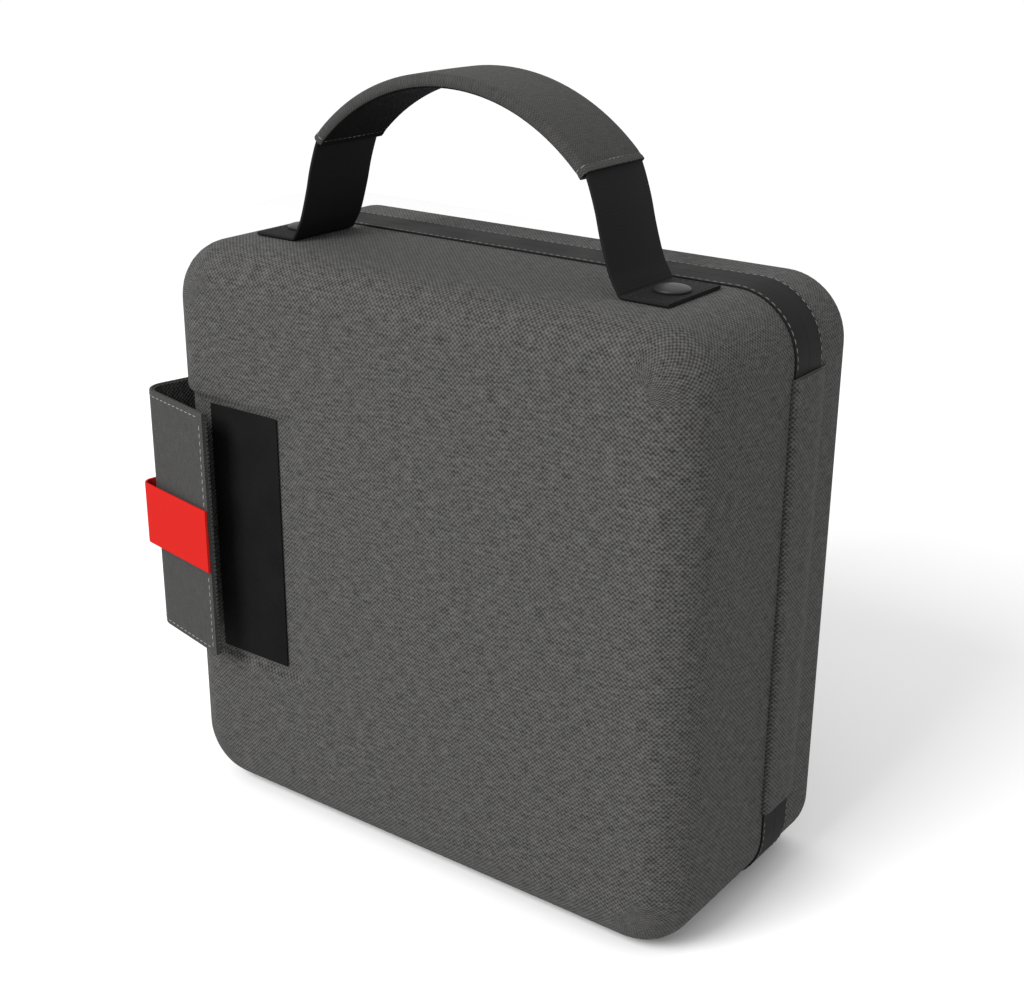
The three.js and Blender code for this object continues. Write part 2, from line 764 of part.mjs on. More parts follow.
// ---------- Flap, drawn closed and then opened about its hinge ----------
// Outline, in X and Y, of a skin between two offsets in from the flap's outer face.
function flapSkin(outerOffset, innerOffset, sideStart, edge) {
  const centre = new THREE.Vector2(flapSide + flap.bend, flapFace + flap.bend);
  const line = (offset) => {
    const arc = range(5).map((i) => {
      const angle = ((i / 4) * Math.PI) / 2;
      const reach = flap.bend - offset;
      return new THREE.Vector2(centre.x - reach * Math.cos(angle), centre.y - reach * Math.sin(angle));
    });
    const start = new THREE.Vector2(flapSide + offset, sideStart);
    return [start, ...arc, new THREE.Vector2(edge, flapFace + offset)];
  };
  return new THREE.Shape([...line(outerOffset), ...line(innerOffset).reverse()]);
}

// The pull band is a loose fold: it lies flat at both ends and stands off the flap at the corner.
function pullBandShape() {
  const { start, loose, bend, thickness } = pullBand;
  const seat = gap + thickness / 2;
  const centre = new THREE.Vector2(flapSide - seat + bend, flapFace - seat - loose + bend);
  const arc = range(5).map((i) => {
    const angle = ((i / 4) * Math.PI) / 2;
    return new THREE.Vector2(centre.x - bend * Math.cos(angle), centre.y - bend * Math.sin(angle));
  });
  const ends = [new THREE.Vector2(flapSide - seat, start), new THREE.Vector2(flapEdge, flapFace - seat)];
  return ribbonShape([ends[0], ...arc, ends[1]], thickness);
}

const flapGroup = new THREE.Group();
flapGroup.position.set(flapHingeX, flapHingeY, 0);
flapGroup.rotation.z = -THREE.MathUtils.degToRad(flap.open);
object.add(flapGroup);

function addToFlap(name, shape, bottom, height, material) {
  const geometry = extrude(shape, height).translate(-flapHingeX, -flapHingeY, bottom);
  add(name, geometry, material, flapGroup);
}

addToFlap("flap_panel", flapSkin(0, flap.panel, flapHingeY, flapEdge), flap.bottom, flap.height, greyFabric);
addToFlap(
  "flap_liner",
  flapSkin(flap.panel + gap, flap.panel + gap + flap.liner, flapHingeY - 2, flapEdge - 0.5),
  flap.bottom + 0.8,
  flap.height - 1.6,
  blackLiner,
);
addToFlap("flap_pull_band", pullBandShape(), pullBand.bottom, pullBand.height, redWebbing);

// ---------- Zip sliders and their pulls ----------
const slider = { width: 10, length: 14, thickness: 3.2, face: -side - tapeProud - gap };
const pullTab = { width: 8, length: 22, thickness: 1.4, above: 0.6 };

function sliderBody(z) {
  const { width, length, thickness, face } = slider;
  const a = width / 2;
  const outline = roundedRectangle(zipLine - a, zipLine + a, z - length / 2, z + length / 2, 3);
  return plateAlongX(outline, face - thickness, face);
}

function sliderPull(z) {
  const { width, length, thickness, above } = pullTab;
  const inner = slider.face - slider.thickness - gap;
  const a = width / 2;
  const outline = roundedRectangle(zipLine - a, zipLine + a, z + above - length, z + above, 2.5);
  return plateAlongX(outline, inner - thickness, inner);
}

[["lower", 70], ["upper", 165]].forEach(([name, z]) => {
  add(`zip_slider_${name}`, sliderBody(z), darkMetal);
  add(`zip_pull_${name}`, sliderPull(z), blackWebbing);
});

export default object;
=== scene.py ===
import json
import math

import bmesh
import bpy
import numpy as np
from mathutils import Matrix, Vector

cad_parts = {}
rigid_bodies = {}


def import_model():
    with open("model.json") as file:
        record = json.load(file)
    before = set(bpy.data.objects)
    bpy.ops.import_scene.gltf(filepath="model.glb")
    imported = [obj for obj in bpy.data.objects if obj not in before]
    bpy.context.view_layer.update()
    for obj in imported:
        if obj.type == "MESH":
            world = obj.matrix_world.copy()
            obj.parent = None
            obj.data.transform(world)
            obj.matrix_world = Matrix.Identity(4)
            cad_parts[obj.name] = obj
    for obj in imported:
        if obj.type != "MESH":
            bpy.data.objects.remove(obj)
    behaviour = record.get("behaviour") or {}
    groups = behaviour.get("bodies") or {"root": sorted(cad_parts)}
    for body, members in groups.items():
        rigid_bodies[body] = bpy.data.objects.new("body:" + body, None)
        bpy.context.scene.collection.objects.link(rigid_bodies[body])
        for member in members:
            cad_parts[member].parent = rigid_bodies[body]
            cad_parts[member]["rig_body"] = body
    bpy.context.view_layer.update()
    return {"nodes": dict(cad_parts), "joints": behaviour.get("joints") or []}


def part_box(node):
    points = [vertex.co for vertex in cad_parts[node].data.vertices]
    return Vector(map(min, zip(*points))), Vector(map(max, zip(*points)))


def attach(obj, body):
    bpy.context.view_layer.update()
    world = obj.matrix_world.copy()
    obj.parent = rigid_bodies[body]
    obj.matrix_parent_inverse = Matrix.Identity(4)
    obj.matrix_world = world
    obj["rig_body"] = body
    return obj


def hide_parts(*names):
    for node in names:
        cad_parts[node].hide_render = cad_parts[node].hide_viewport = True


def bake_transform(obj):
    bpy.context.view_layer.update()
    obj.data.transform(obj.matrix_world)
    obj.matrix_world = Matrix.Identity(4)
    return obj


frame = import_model()
MM = 0.001
WEAVE = "weave"  # the UV map, in millimetres along and across the threads

# ---------- Camera ----------
VIEW_AZIMUTH = math.radians(36.25)
VIEW_ELEVATION = math.radians(21.05)
VIEW_ROLL = math.radians(0.4)
VIEW_DISTANCE = 0.7281
VIEW_TARGET = Vector((0.01106, 0.0, 0.1643))
SENSOR_WIDTH = 36.0
FOCAL_LENGTH = 56.65


def add_camera():
    level = math.cos(VIEW_ELEVATION)
    back = Vector((math.sin(VIEW_AZIMUTH) * level, -math.cos(VIEW_AZIMUTH) * level, math.sin(VIEW_ELEVATION)))
    data = bpy.data.cameras.new("camera")
    data.sensor_width = SENSOR_WIDTH
    data.lens = FOCAL_LENGTH
    camera = bpy.data.objects.new("camera", data)
    bpy.context.scene.collection.objects.link(camera)
    turn = back.to_track_quat("Z", "Y").to_matrix().to_4x4()
    place = Matrix.Translation(VIEW_TARGET + back * VIEW_DISTANCE)
    camera.matrix_world = place @ turn @ Matrix.Rotation(VIEW_ROLL, 4, "Z")
    bpy.context.scene.camera = camera


add_camera()

# ---------- Sizes taken from the frame ----------
shell_low, shell_high = (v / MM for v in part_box("front_shell"))
lid_low, lid_high = (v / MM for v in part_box("back_shell"))
front_tape_low, front_tape_high = (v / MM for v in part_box("front_zip_tape"))
back_tape_low, back_tape_high = (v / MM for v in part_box("back_zip_tape"))
SIDE = shell_high.x
TOP = shell_high.z
FRONT = shell_low.y
BACK = lid_high.y
CORNER = 28.0
FRONT_FILLET = 20.0
BACK_FILLET = 8.0
WALL = 5.0
REBATE = 0.9
GAP = 0.3  # between pieces that touch
SEAM = 0.15  # half of the gap between the two tapes
TAPE_FRONT = front_tape_low.y - SEAM
TAPE_BACK = back_tape_high.y + SEAM
ZIP_LINE = (front_tape_high.y + back_tape_low.y) / 2
HINGE_LOW, HINGE_HIGH = (corner.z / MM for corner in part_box("hinge_panel_front"))
RECESS_LOW, RECESS_HIGH, RECESS_DEPTH, RECESS_BEVEL = 75.0, 200.4, 2.5, 4.0
RECESS_RAMP = (-68.0, -57.0)
WINDOW = {"y": (-36.0, 4.0), "z": (92.0, 190.0)}
PERIOD = (SIDE - FRONT_FILLET) / 58  # two threads of the case fabric


# ---------- Mesh tools ----------
def make_object(name, points, faces, uvs=None, material_of=None):
    """A mesh object from points in millimetres. uvs holds one list of corner places for each face."""
    mesh = bpy.data.meshes.new(name)
    mesh.from_pydata([tuple(float(c) * MM for c in p) for p in points], [], faces)
    if uvs is not None:
        layer = mesh.uv_layers.new(name=WEAVE)
        layer.data.foreach_set("uv", np.array([uv for face in uvs for uv in face], np.float32).ravel())
    if material_of is not None:
        mesh.polygons.foreach_set("material_index", np.array(material_of, np.int32))
    mesh.polygons.foreach_set("use_smooth", np.ones(len(mesh.polygons), bool))
    mesh.update()
    obj = bpy.data.objects.new(name, mesh)
    bpy.context.scene.collection.objects.link(obj)
    return obj


def face_outwards(obj, sharp=35):
    work = bmesh.new()
    work.from_mesh(obj.data)
    bmesh.ops.recalc_face_normals(work, faces=work.faces)
    work.to_mesh(obj.data)
    work.free()
    obj.data.set_sharp_from_angle(angle=math.radians(sharp))


def finish_piece(obj, body, materials, replaces=(), blend=None):
    for material in materials:
        obj.data.materials.append(material)
    if blend:
        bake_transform(obj)
    else:
        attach(obj, body)
    if replaces:
        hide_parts(*replaces)
    return obj


def unit(v):
    v = np.asarray(v, float)
    return v / np.linalg.norm(v)


def rounded_section(width, height, radius, steps=4, crown=0.0):
    """Closed section, in order round, with rounded corners. crown lifts the middle of the upper side."""
    points = []
    half_w, half_h = width / 2 - radius, height / 2 - radius
    centres = [(half_w, half_h), (-half_w, half_h), (-half_w, -half_h), (half_w, -half_h)]
    for quarter, (cx, cy) in enumerate(centres):
        for k in range(steps + 1):
            angle = (quarter + k / steps) * math.pi / 2
            points.append([cx + radius * math.cos(angle), cy + radius * math.sin(angle)])
        if quarter == 0 and width > 12:
            for share in np.linspace(0.9, -0.9, 9):
                points.append([share * half_w, height / 2 + crown * (1 - share**2)])
    return np.array(points)


def sweep(name, rings, sharp=35, closed=False):
    """Skin over rings of 3-D points, with UVs in millimetres along and around."""
    rings = [np.asarray(r, float) for r in rings]
    count = len(rings[0])
    points = np.concatenate(rings)
    steps = [np.linalg.norm(np.mean(b, 0) - np.mean(a, 0)) for a, b in zip(rings, rings[1:])]
    along = np.cumsum([0, *steps])
    sides = [np.linalg.norm(rings[0][(i + 1) % count] - rings[0][i]) for i in range(count)]
    around = np.cumsum([0, *sides])
    faces, uvs = [], []
    total = len(rings) if closed else len(rings) - 1
    for r in range(total):
        s = (r + 1) % len(rings)
        last_step = np.linalg.norm(np.mean(rings[s], 0) - np.mean(rings[r], 0))
        ahead = along[s] if s > r else along[r] + last_step
        for i in range(count):
            j = (i + 1) % count
            faces.append([r * count + i, r * count + j, s * count + j, s * count + i])
            near, far = around[i], around[i + 1]
            uvs.append([(near, along[r]), (far, along[r]), (far, ahead), (near, ahead)])
    if not closed:
        for r, step in ((0, -1), (len(rings) - 1, 1)):
            loop = [r * count + i for i in range(count)][::step]
            centre = points[loop].mean(0)
            faces.append(loop)
            uvs.append([tuple((points[k] - centre)[[0, 2]]) for k in loop])
    obj = make_object(name, points, faces, uvs)
    face_outwards(obj, sharp)
    return obj


def ring_at(origin, across, out, section):
    origin, across, out = (np.asarray(v, float) for v in (origin, across, out))
    return np.array([origin + a * across + b * out for a, b in section])


def smooth_line(points, per_span=8):
    """Catmull-Rom curve through points."""
    points = [np.asarray(p, float) for p in points]
    padded = [2 * points[0] - points[1], *points, 2 * points[-1] - points[-2]]
    line = []
    for a, b, c, d in zip(padded, padded[1:], padded[2:], padded[3:]):
        for t in np.linspace(0, 1, per_span, endpoint=False):
            square, cube = 2 * a - 5 * b + 4 * c - d, 3 * b - a - 3 * c + d
            line.append(0.5 * (2 * b + (c - a) * t + square * t**2 + cube * t**3))
    return np.array([*line, points[-1]])


def tangents(line):
    line = np.asarray(line)
    ahead = np.vstack([line[1:], line[-1:]])
    behind = np.vstack([line[:1], line[:-1]])
    return np.array([unit(v) for v in ahead - behind])


def stitches(name, runs, body, material, length=3.1, pitch=4.1, width=0.55, height=0.42):
    """Rows of raised thread. A run is a line of points on the fabric and the outward direction at each."""
    points, faces = [], []
    rings, sides = 5, 6
    for line, outs in runs:
        line, outs = np.asarray(line, float), np.asarray(outs, float)
        steps = np.linalg.norm(np.diff(line, axis=0), axis=1)
        reach = np.concatenate([[0], np.cumsum(steps)])
        for start in np.arange(pitch / 2, reach[-1] - length / 2, pitch):
            middle = np.array([np.interp(start, reach, line[:, k]) for k in range(3)])
            ahead = np.array([np.interp(start + 0.5, reach, line[:, k]) for k in range(3)])
            out = unit([np.interp(start, reach, outs[:, k]) for k in range(3)])
            along = unit(ahead - middle)
            across = np.cross(along, out)
            base = len(points)
            for r in range(rings):
                share = -1 + 2 * r / (rings - 1)
                plump = math.sqrt(max(1 - abs(share) ** 3, 0.04))
                centre = middle + along * share * length / 2 + out * height * (0.25 - 0.45 * abs(share) ** 3)
                for k in range(sides):
                    angle = 2 * math.pi * k / sides
                    spread = across * math.cos(angle) * width / 2 + out * math.sin(angle) * height / 2
                    points.append(centre + spread * plump)
            for r in range(rings - 1):
                for k in range(sides):
                    a, b = base + r * sides + k, base + r * sides + (k + 1) % sides
                    faces.append([a, b, b + sides, a + sides])
            faces.append([base + k for k in range(sides)][::-1])
            faces.append([base + (rings - 1) * sides + k for k in range(sides)])
    obj = make_object(name, points, faces)
    face_outwards(obj, 80)
    return finish_piece(obj, body, [material])


def refine(node, material, bevel=0.6, segments=3, name=None):
    """A copy of a CAD solid, with flat triangles merged and edges rounded, that stands for the node."""
    source = frame["nodes"][node]
    obj = bpy.data.objects.new(name or f"{node}_finished", source.data.copy())
    bpy.context.scene.collection.objects.link(obj)
    obj.data.materials.clear()
    work = bmesh.new()
    work.from_mesh(obj.data)
    bmesh.ops.remove_doubles(work, verts=work.verts, dist=1e-6)
    bmesh.ops.dissolve_limit(work, angle_limit=math.radians(1), verts=work.verts, edges=work.edges)
    work.to_mesh(obj.data)
    work.free()
    modifier = obj.modifiers.new("edges", "BEVEL")
    modifier.width = bevel * MM
    modifier.segments = segments
    modifier.limit_method = "ANGLE"
    modifier.angle_limit = math.radians(38)
    modifier.harden_normals = False
    bpy.context.view_layer.update()
    mesh = bpy.data.meshes.new_from_object(obj.evaluated_get(bpy.context.evaluated_depsgraph_get()))
    obj.modifiers.clear()
    obj.data = mesh
    mesh.polygons.foreach_set("use_smooth", np.ones(len(mesh.polygons), bool))
    mesh.set_sharp_from_angle(angle=math.radians(40))
    body = source["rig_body"]
    return finish_piece(obj, body, [material], [node])


# ---------- Materials ----------
class Shader:
    """Short calls for building one node material."""

    def __init__(self, name, roughness=0.8, metallic=0.0, specular=0.4, sheen=0.0, coat=0.0):
        self.material = bpy.data.materials.new(name)
        self.material.use_nodes = True
        self.tree = self.material.node_tree
        self.surface = self.tree.nodes["Principled BSDF"]
        self.surface.inputs["Roughness"].default_value = roughness
        self.surface.inputs["Metallic"].default_value = metallic
        self.surface.inputs["Specular IOR Level"].default_value = specular
        self.surface.inputs["Sheen Weight"].default_value = sheen
        self.surface.inputs["Sheen Roughness"].default_value = 0.5
        self.surface.inputs["Coat Weight"].default_value = coat

    def put(self, socket, value):
        if hasattr(value, "is_output"):
            self.tree.links.new(value, socket)
        else:
            socket.default_value = value

    def maths(self, operation, a, b=0.0, c=0.0, clamp=False):
        node = self.tree.nodes.new("ShaderNodeMath")
        node.operation = operation
        node.use_clamp = clamp
        for socket, value in zip(node.inputs, (a, b, c)):
            self.put(socket, value)
        return node.outputs[0]

    def uv(self):
        node = self.tree.nodes.new("ShaderNodeUVMap")
        node.uv_map = WEAVE
        split = self.tree.nodes.new("ShaderNodeSeparateXYZ")
        self.put(split.inputs[0], node.outputs[0])
        return split.outputs[0], split.outputs[1]

    def join(self, x, y, z=0.0):
        node = self.tree.nodes.new("ShaderNodeCombineXYZ")
        for socket, value in zip(node.inputs, (x, y, z)):
            self.put(socket, value)
        return node.outputs[0]

    def place(self):
        return self.tree.nodes.new("ShaderNodeTexCoord").outputs["Object"]

    def noise(self, vector, scale, detail=3.0, roughness=0.5):
        node = self.tree.nodes.new("ShaderNodeTexNoise")
        self.put(node.inputs["Vector"], vector)
        node.inputs["Scale"].default_value = scale
        node.inputs["Detail"].default_value = detail
        node.inputs["Roughness"].default_value = roughness
        return node.outputs["Fac"]

    def mix(self, share, low, high):
        node = self.tree.nodes.new("ShaderNodeMix")
        node.data_type = "RGBA"
        self.put(node.inputs["Factor"], share)
        for label, colour in (("A", low), ("B", high)):
            socket = [s for s in node.inputs if s.name == label and s.type == "RGBA"][0]
            self.put(socket, (*colour, 1.0) if isinstance(colour, tuple) else colour)
        return [s for s in node.outputs if s.type == "RGBA"][0]

    def finish(self, colour, height=None, depth=0.0002, strength=0.6, roughness=None):
        self.put(self.surface.inputs["Base Color"], colour)
        if roughness is not None:
            self.put(self.surface.inputs["Roughness"], roughness)
        if height is not None:
            bump = self.tree.nodes.new("ShaderNodeBump")
            bump.inputs["Strength"].default_value = strength
            bump.inputs["Distance"].default_value = depth
            self.put(bump.inputs["Height"], height)
            self.put(self.surface.inputs["Normal"], bump.outputs[0])
        return self.material


def woven(name, dark, light, period, strength=0.7, depth=0.0003, contrast=0.4, melange=0.55, roughness=0.92):
    """Plain weave: raised threads at alternate crossings, with each yarn a little lighter or darker."""
    s = Shader(name, roughness=roughness, specular=0.12, sheen=0.03)
    u, v = s.uv()
    wander = s.maths("MULTIPLY", s.maths("SUBTRACT", s.noise(s.join(u, v), 0.11), 0.5), 1.6)
    turn = 2 * math.pi / period
    wave_u = s.maths("COSINE", s.maths("MULTIPLY_ADD", u, turn, wander))
    wave_v = s.maths("COSINE", s.maths("MULTIPLY_ADD", v, turn, wander))
    crossing = s.maths("MULTIPLY", wave_u, wave_v)
    weft = s.noise(s.join(s.maths("MULTIPLY", u, 0.16), s.maths("MULTIPLY", v, 2 / period)), 1.0, 2.0)
    warp = s.noise(s.join(s.maths("MULTIPLY", u, 2 / period), s.maths("MULTIPLY", v, 0.16), 7.0), 1.0, 2.0)
    yarn = s.maths("MULTIPLY_ADD", weft, 1.3, s.maths("MULTIPLY", warp, 0.7))
    yarn = s.maths("SUBTRACT", yarn, 1.0)
    fuzz = s.maths("SUBTRACT", s.noise(s.join(u, v, 3.0), 5.0, 4.0), 0.5)
    shade = s.maths("MULTIPLY_ADD", crossing, contrast, 0.5)
    shade = s.maths("MULTIPLY_ADD", yarn, melange * 1.6, shade)
    shade = s.maths("MULTIPLY_ADD", fuzz, 0.5, shade, clamp=True)
    height = s.maths("MULTIPLY_ADD", yarn, 0.5, crossing)
    height = s.maths("MULTIPLY_ADD", fuzz, 0.7, height)
    return s.finish(s.mix(shade, dark, light), height, depth, strength)


def webbing(name, dark, light, rib=1.5, strength=0.5, depth=0.00022, roughness=0.75, specular=0.1):
    """Narrow woven band: fine ribs across it, and thin lines along it."""
    s = Shader(name, roughness=roughness, specular=specular)
    u, v = s.uv()
    along = s.maths("SINE", s.maths("MULTIPLY", v, 2 * math.pi / rib))
    half_step = s.maths("MULTIPLY", s.maths("FRACT", s.maths("MULTIPLY", u, 0.5 / 1.1)), 2 * math.pi)
    across = s.maths("COSINE", s.maths("MULTIPLY_ADD", v, 2 * math.pi / rib, half_step))
    fuzz = s.maths("SUBTRACT", s.noise(s.join(u, v), 3.5, 4.0), 0.5)
    height = s.maths("MULTIPLY_ADD", across, 0.6, s.maths("MULTIPLY", along, 0.4))
    shade = s.maths("MULTIPLY_ADD", height, 0.3, 0.45)
    shade = s.maths("MULTIPLY_ADD", fuzz, 0.7, shade, clamp=True)
    return s.finish(s.mix(shade, dark, light), s.maths("MULTIPLY_ADD", fuzz, 0.8, height), depth, strength)


def grained(
    name, dark, light, scale=900.0, roughness=0.5,
    metallic=0.0, strength=0.25, depth=0.0001, coat=0.0, specular=0.45
):
    """Moulded, cast or painted surface with a fine grain and slightly uneven gloss."""
    s = Shader(name, roughness=roughness, metallic=metallic, specular=specular, coat=coat)
    place = s.place()
    fine = s.noise(place, scale, 3.0)
    broad = s.noise(place, scale / 30, 4.0)
    rough = s.maths("MULTIPLY_ADD", s.maths("SUBTRACT", broad, 0.5), 0.25, roughness, clamp=True)
    shade = s.maths("MULTIPLY_ADD", s.maths("SUBTRACT", fine, 0.5), 0.7, broad, clamp=True)
    return s.finish(s.mix(shade, dark, light), fine, depth, strength, roughness=rough)


def grey(level):
    """The slightly warm grey of the case cloth."""
    return (level, level * 0.985, level * 0.96)


def plain(level):
    return (level, level, level)


BLACK_THREADS = {"strength": 0.16, "depth": 0.0001}
RED_THREADS = {"rib": 1.1, "strength": 0.2, "depth": 0.0001, "specular": 0.03}
THREAD = {"scale": 2500, "roughness": 0.8, "specular": 0.1}
HOOKS = {"scale": 1600, "roughness": 0.95, "strength": 0.6, "depth": 0.0003, "specular": 0.05}
FOAM = {"scale": 1800, "roughness": 0.95, "strength": 0.7, "depth": 0.0003}
MATT_PLASTIC = {"scale": 1500, "roughness": 0.6, "strength": 0.4}
DARK_METAL = {"scale": 1800, "roughness": 0.45, "metallic": 0.1, "strength": 0.12, "specular": 0.22}
GLASS = {"scale": 300, "roughness": 0.08, "strength": 0.02, "coat": 0.6}

case_fabric = woven("case_fabric", grey(0.01), grey(0.078), PERIOD)
flap_fabric = woven("flap_fabric", grey(0.017), grey(0.042), PERIOD * 0.62, strength=0.5, depth=0.0002)
liner_fabric = woven("liner_fabric", grey(0.003), grey(0.055), PERIOD, strength=0.8)
tape_finish = grained("zip_tape_finish", plain(0.005), plain(0.008), 1400, 0.6, specular=0.07)
coil_finish = grained("zip_coil_finish", plain(0.01), plain(0.02), 900, 0.45)
black_webbing = webbing("black_webbing", plain(0.004), plain(0.008), **BLACK_THREADS)
red_webbing = webbing("red_webbing", (0.33, 0.008, 0.006), (0.38, 0.012, 0.009), **RED_THREADS)
hook_finish = grained("hook_finish", plain(0.002), plain(0.008), **HOOKS)
light_thread = grained("light_thread", (0.09, 0.09, 0.088), (0.15, 0.15, 0.145), **THREAD)
pale_thread = grained("pale_thread", (0.14, 0.14, 0.136), (0.21, 0.21, 0.205), **THREAD)
dark_thread = grained("dark_thread", plain(0.015), plain(0.025), **THREAD)
foam_finish = grained("foam_finish", (0.03, 0.031, 0.033), (0.05, 0.052, 0.054), **FOAM)
rivet_finish = grained("rivet_finish", plain(0.014), plain(0.022), **DARK_METAL)
steel_finish = grained("steel_finish", (0.4, 0.4, 0.41), (0.55, 0.55, 0.56), 700, 0.35, 1.0, strength=0.1)
housing_finish = grained("housing_finish", (0.018, 0.019, 0.02), (0.028, 0.029, 0.03), **MATT_PLASTIC)
panel_finish = grained("panel_finish", (0.01, 0.01, 0.011), (0.018, 0.018, 0.019), 1700, strength=0.3)
button_finish = grained("button_finish", (0.12, 0.125, 0.13), (0.17, 0.175, 0.18), 1700, strength=0.2)
display_finish = grained("display_finish", (0.004, 0.005, 0.007), (0.007, 0.009, 0.012), **GLASS)
cell_finish = grained("cell_finish", (0.02, 0.09, 0.36), (0.035, 0.13, 0.45), 400, 0.3, strength=0.1)
board_finish = grained("board_finish", (0.008, 0.085, 0.03), (0.014, 0.12, 0.04), 500, 0.35, strength=0.2)
sink_finish = grained("sink_finish", (0.55, 0.56, 0.57), (0.7, 0.7, 0.72), 800, 0.4, 1.0, strength=0.2)
winding_finish = grained("winding_finish", (0.5, 0.2, 0.07), (0.7, 0.3, 0.12), 500, 0.35, 0.8, strength=0.4)


# ---------- Case shells ----------
def steps_between(low, high, spacing, extra=()):
    """Values from low to high about spacing apart, with the extra values among them."""
    marks = sorted({low, high, *extra})
    values = []
    for a, b in zip(marks, marks[1:]):
        count = max(1, round((b - a) / spacing))
        values.extend(a + (b - a) * i / count for i in range(count))
    return [*values, high]


ARC_STEPS = 7  # for half of a corner
GRID = 4.0  # spacing of the skin's points
heights = steps_between(
    CORNER,
    TOP - CORNER,
    GRID,
    (
        *np.linspace(RECESS_LOW - RECESS_BEVEL - 0.6, RECESS_LOW + 0.8, 7),
        *np.linspace(RECESS_HIGH - 0.8, RECESS_HIGH + RECESS_BEVEL + 0.6, 7),
        *WINDOW["z"],
    ),
)
ramp_marks = np.linspace(RECESS_RAMP[0] - 1, RECESS_RAMP[1] + 1, 7)
widths = steps_between(-SIDE + CORNER, SIDE - CORNER, GRID, tuple(ramp_marks))


def perimeter():
    """Stations round the case: four sides, each from one corner's middle to the next. A station is the
    centre that its ring's radius starts from, its outward angle, and its distance along the threads."""
    sides = []
    corner_x, low, high = SIDE - CORNER, CORNER, TOP - CORNER
    flat = {
        0: [(corner_x, z, z) for z in heights],
        1: [(x, high, x) for x in reversed(widths)],
        2: [(-corner_x, z, z) for z in reversed(heights)],
        3: [(x, low, x) for x in widths],
    }
    for index, line in flat.items():
        middle = index * 90
        sign = 1 if line[-1][2] > line[0][2] else -1
        before = [(line[0][0], line[0][1], middle - 45 + 45 * k / ARC_STEPS) for k in range(ARC_STEPS)]
        after = [(line[-1][0], line[-1][1], middle + 45 * k / ARC_STEPS) for k in range(1, ARC_STEPS + 1)]
        side = [(x, z, a, line[0][2] - sign * CORNER * math.radians(middle - a)) for x, z, a in before]
        side += [(x, z, middle, c) for x, z, c in line]
        side += [(x, z, a, line[-1][2] + sign * CORNER * math.radians(a - middle)) for x, z, a in after]
        sides.append(side)
    return sides


SIDES = perimeter()


def smooth_step(value):
    value = min(max(value, 0.0), 1.0)
    return value * value * (3 - 2 * value)


def recess_at(x, z, on_face):
    rise = smooth_step((z - (RECESS_LOW - RECESS_BEVEL)) / RECESS_BEVEL)
    fall = smooth_step((RECESS_HIGH + RECESS_BEVEL - z) / RECESS_BEVEL)
    fade = 1.0
    if on_face:
        fade = smooth_step((RECESS_RAMP[1] - x) / (RECESS_RAMP[1] - RECESS_RAMP[0]))
    return RECESS_DEPTH * rise * fall * fade


def ring_points(y, inset, lean, recess):
    """One ring of the skin. lean is the share of the surface's direction that points out of the side."""
    rings = []
    for index, side in enumerate(SIDES):
        for x, z, degrees, _ in side[:-1]:
            angle = math.radians(degrees)
            radius = CORNER - inset
            sink = recess_at(x, z, False) if recess and index == 2 else 0.0
            out = radius - sink * lean
            depth = y + sink * math.sqrt(max(1 - lean * lean, 0))
            rings.append([x + out * math.cos(angle), depth, z + out * math.sin(angle)])
    return rings


def face_grid(y, inset, recess, direction):
    """The flat face, as rows of points between the four sides of its outline."""
    radius = CORNER - inset

    def edge(side):
        centres = np.array([[x, z] for x, z, _, _ in side])
        angles = np.radians([a for _, _, a, _ in side])
        return centres + radius * np.column_stack([np.cos(angles), np.sin(angles)])

    right, top, left, bottom = (edge(side) for side in SIDES)
    left, top = left[::-1], top[::-1]
    s = (bottom[:, 0] - bottom[0, 0]) / (bottom[-1, 0] - bottom[0, 0])
    t = (right[:, 1] - right[0, 1]) / (right[-1, 1] - right[0, 1])
    grid = []
    for j in range(len(t)):
        row = []
        for i in range(len(s)):
            flat = (1 - s[i]) * left[j] + s[i] * right[j] + (1 - t[j]) * bottom[i] + t[j] * top[i]
            corners = (1 - s[i]) * ((1 - t[j]) * bottom[0] + t[j] * top[0])
            corners = corners + s[i] * ((1 - t[j]) * bottom[-1] + t[j] * top[-1])
            x, z = flat - corners
            sink = recess_at(x, z, True) if recess else 0.0
            row.append([x, y + direction * sink, z])
        grid.append(row)
    return grid


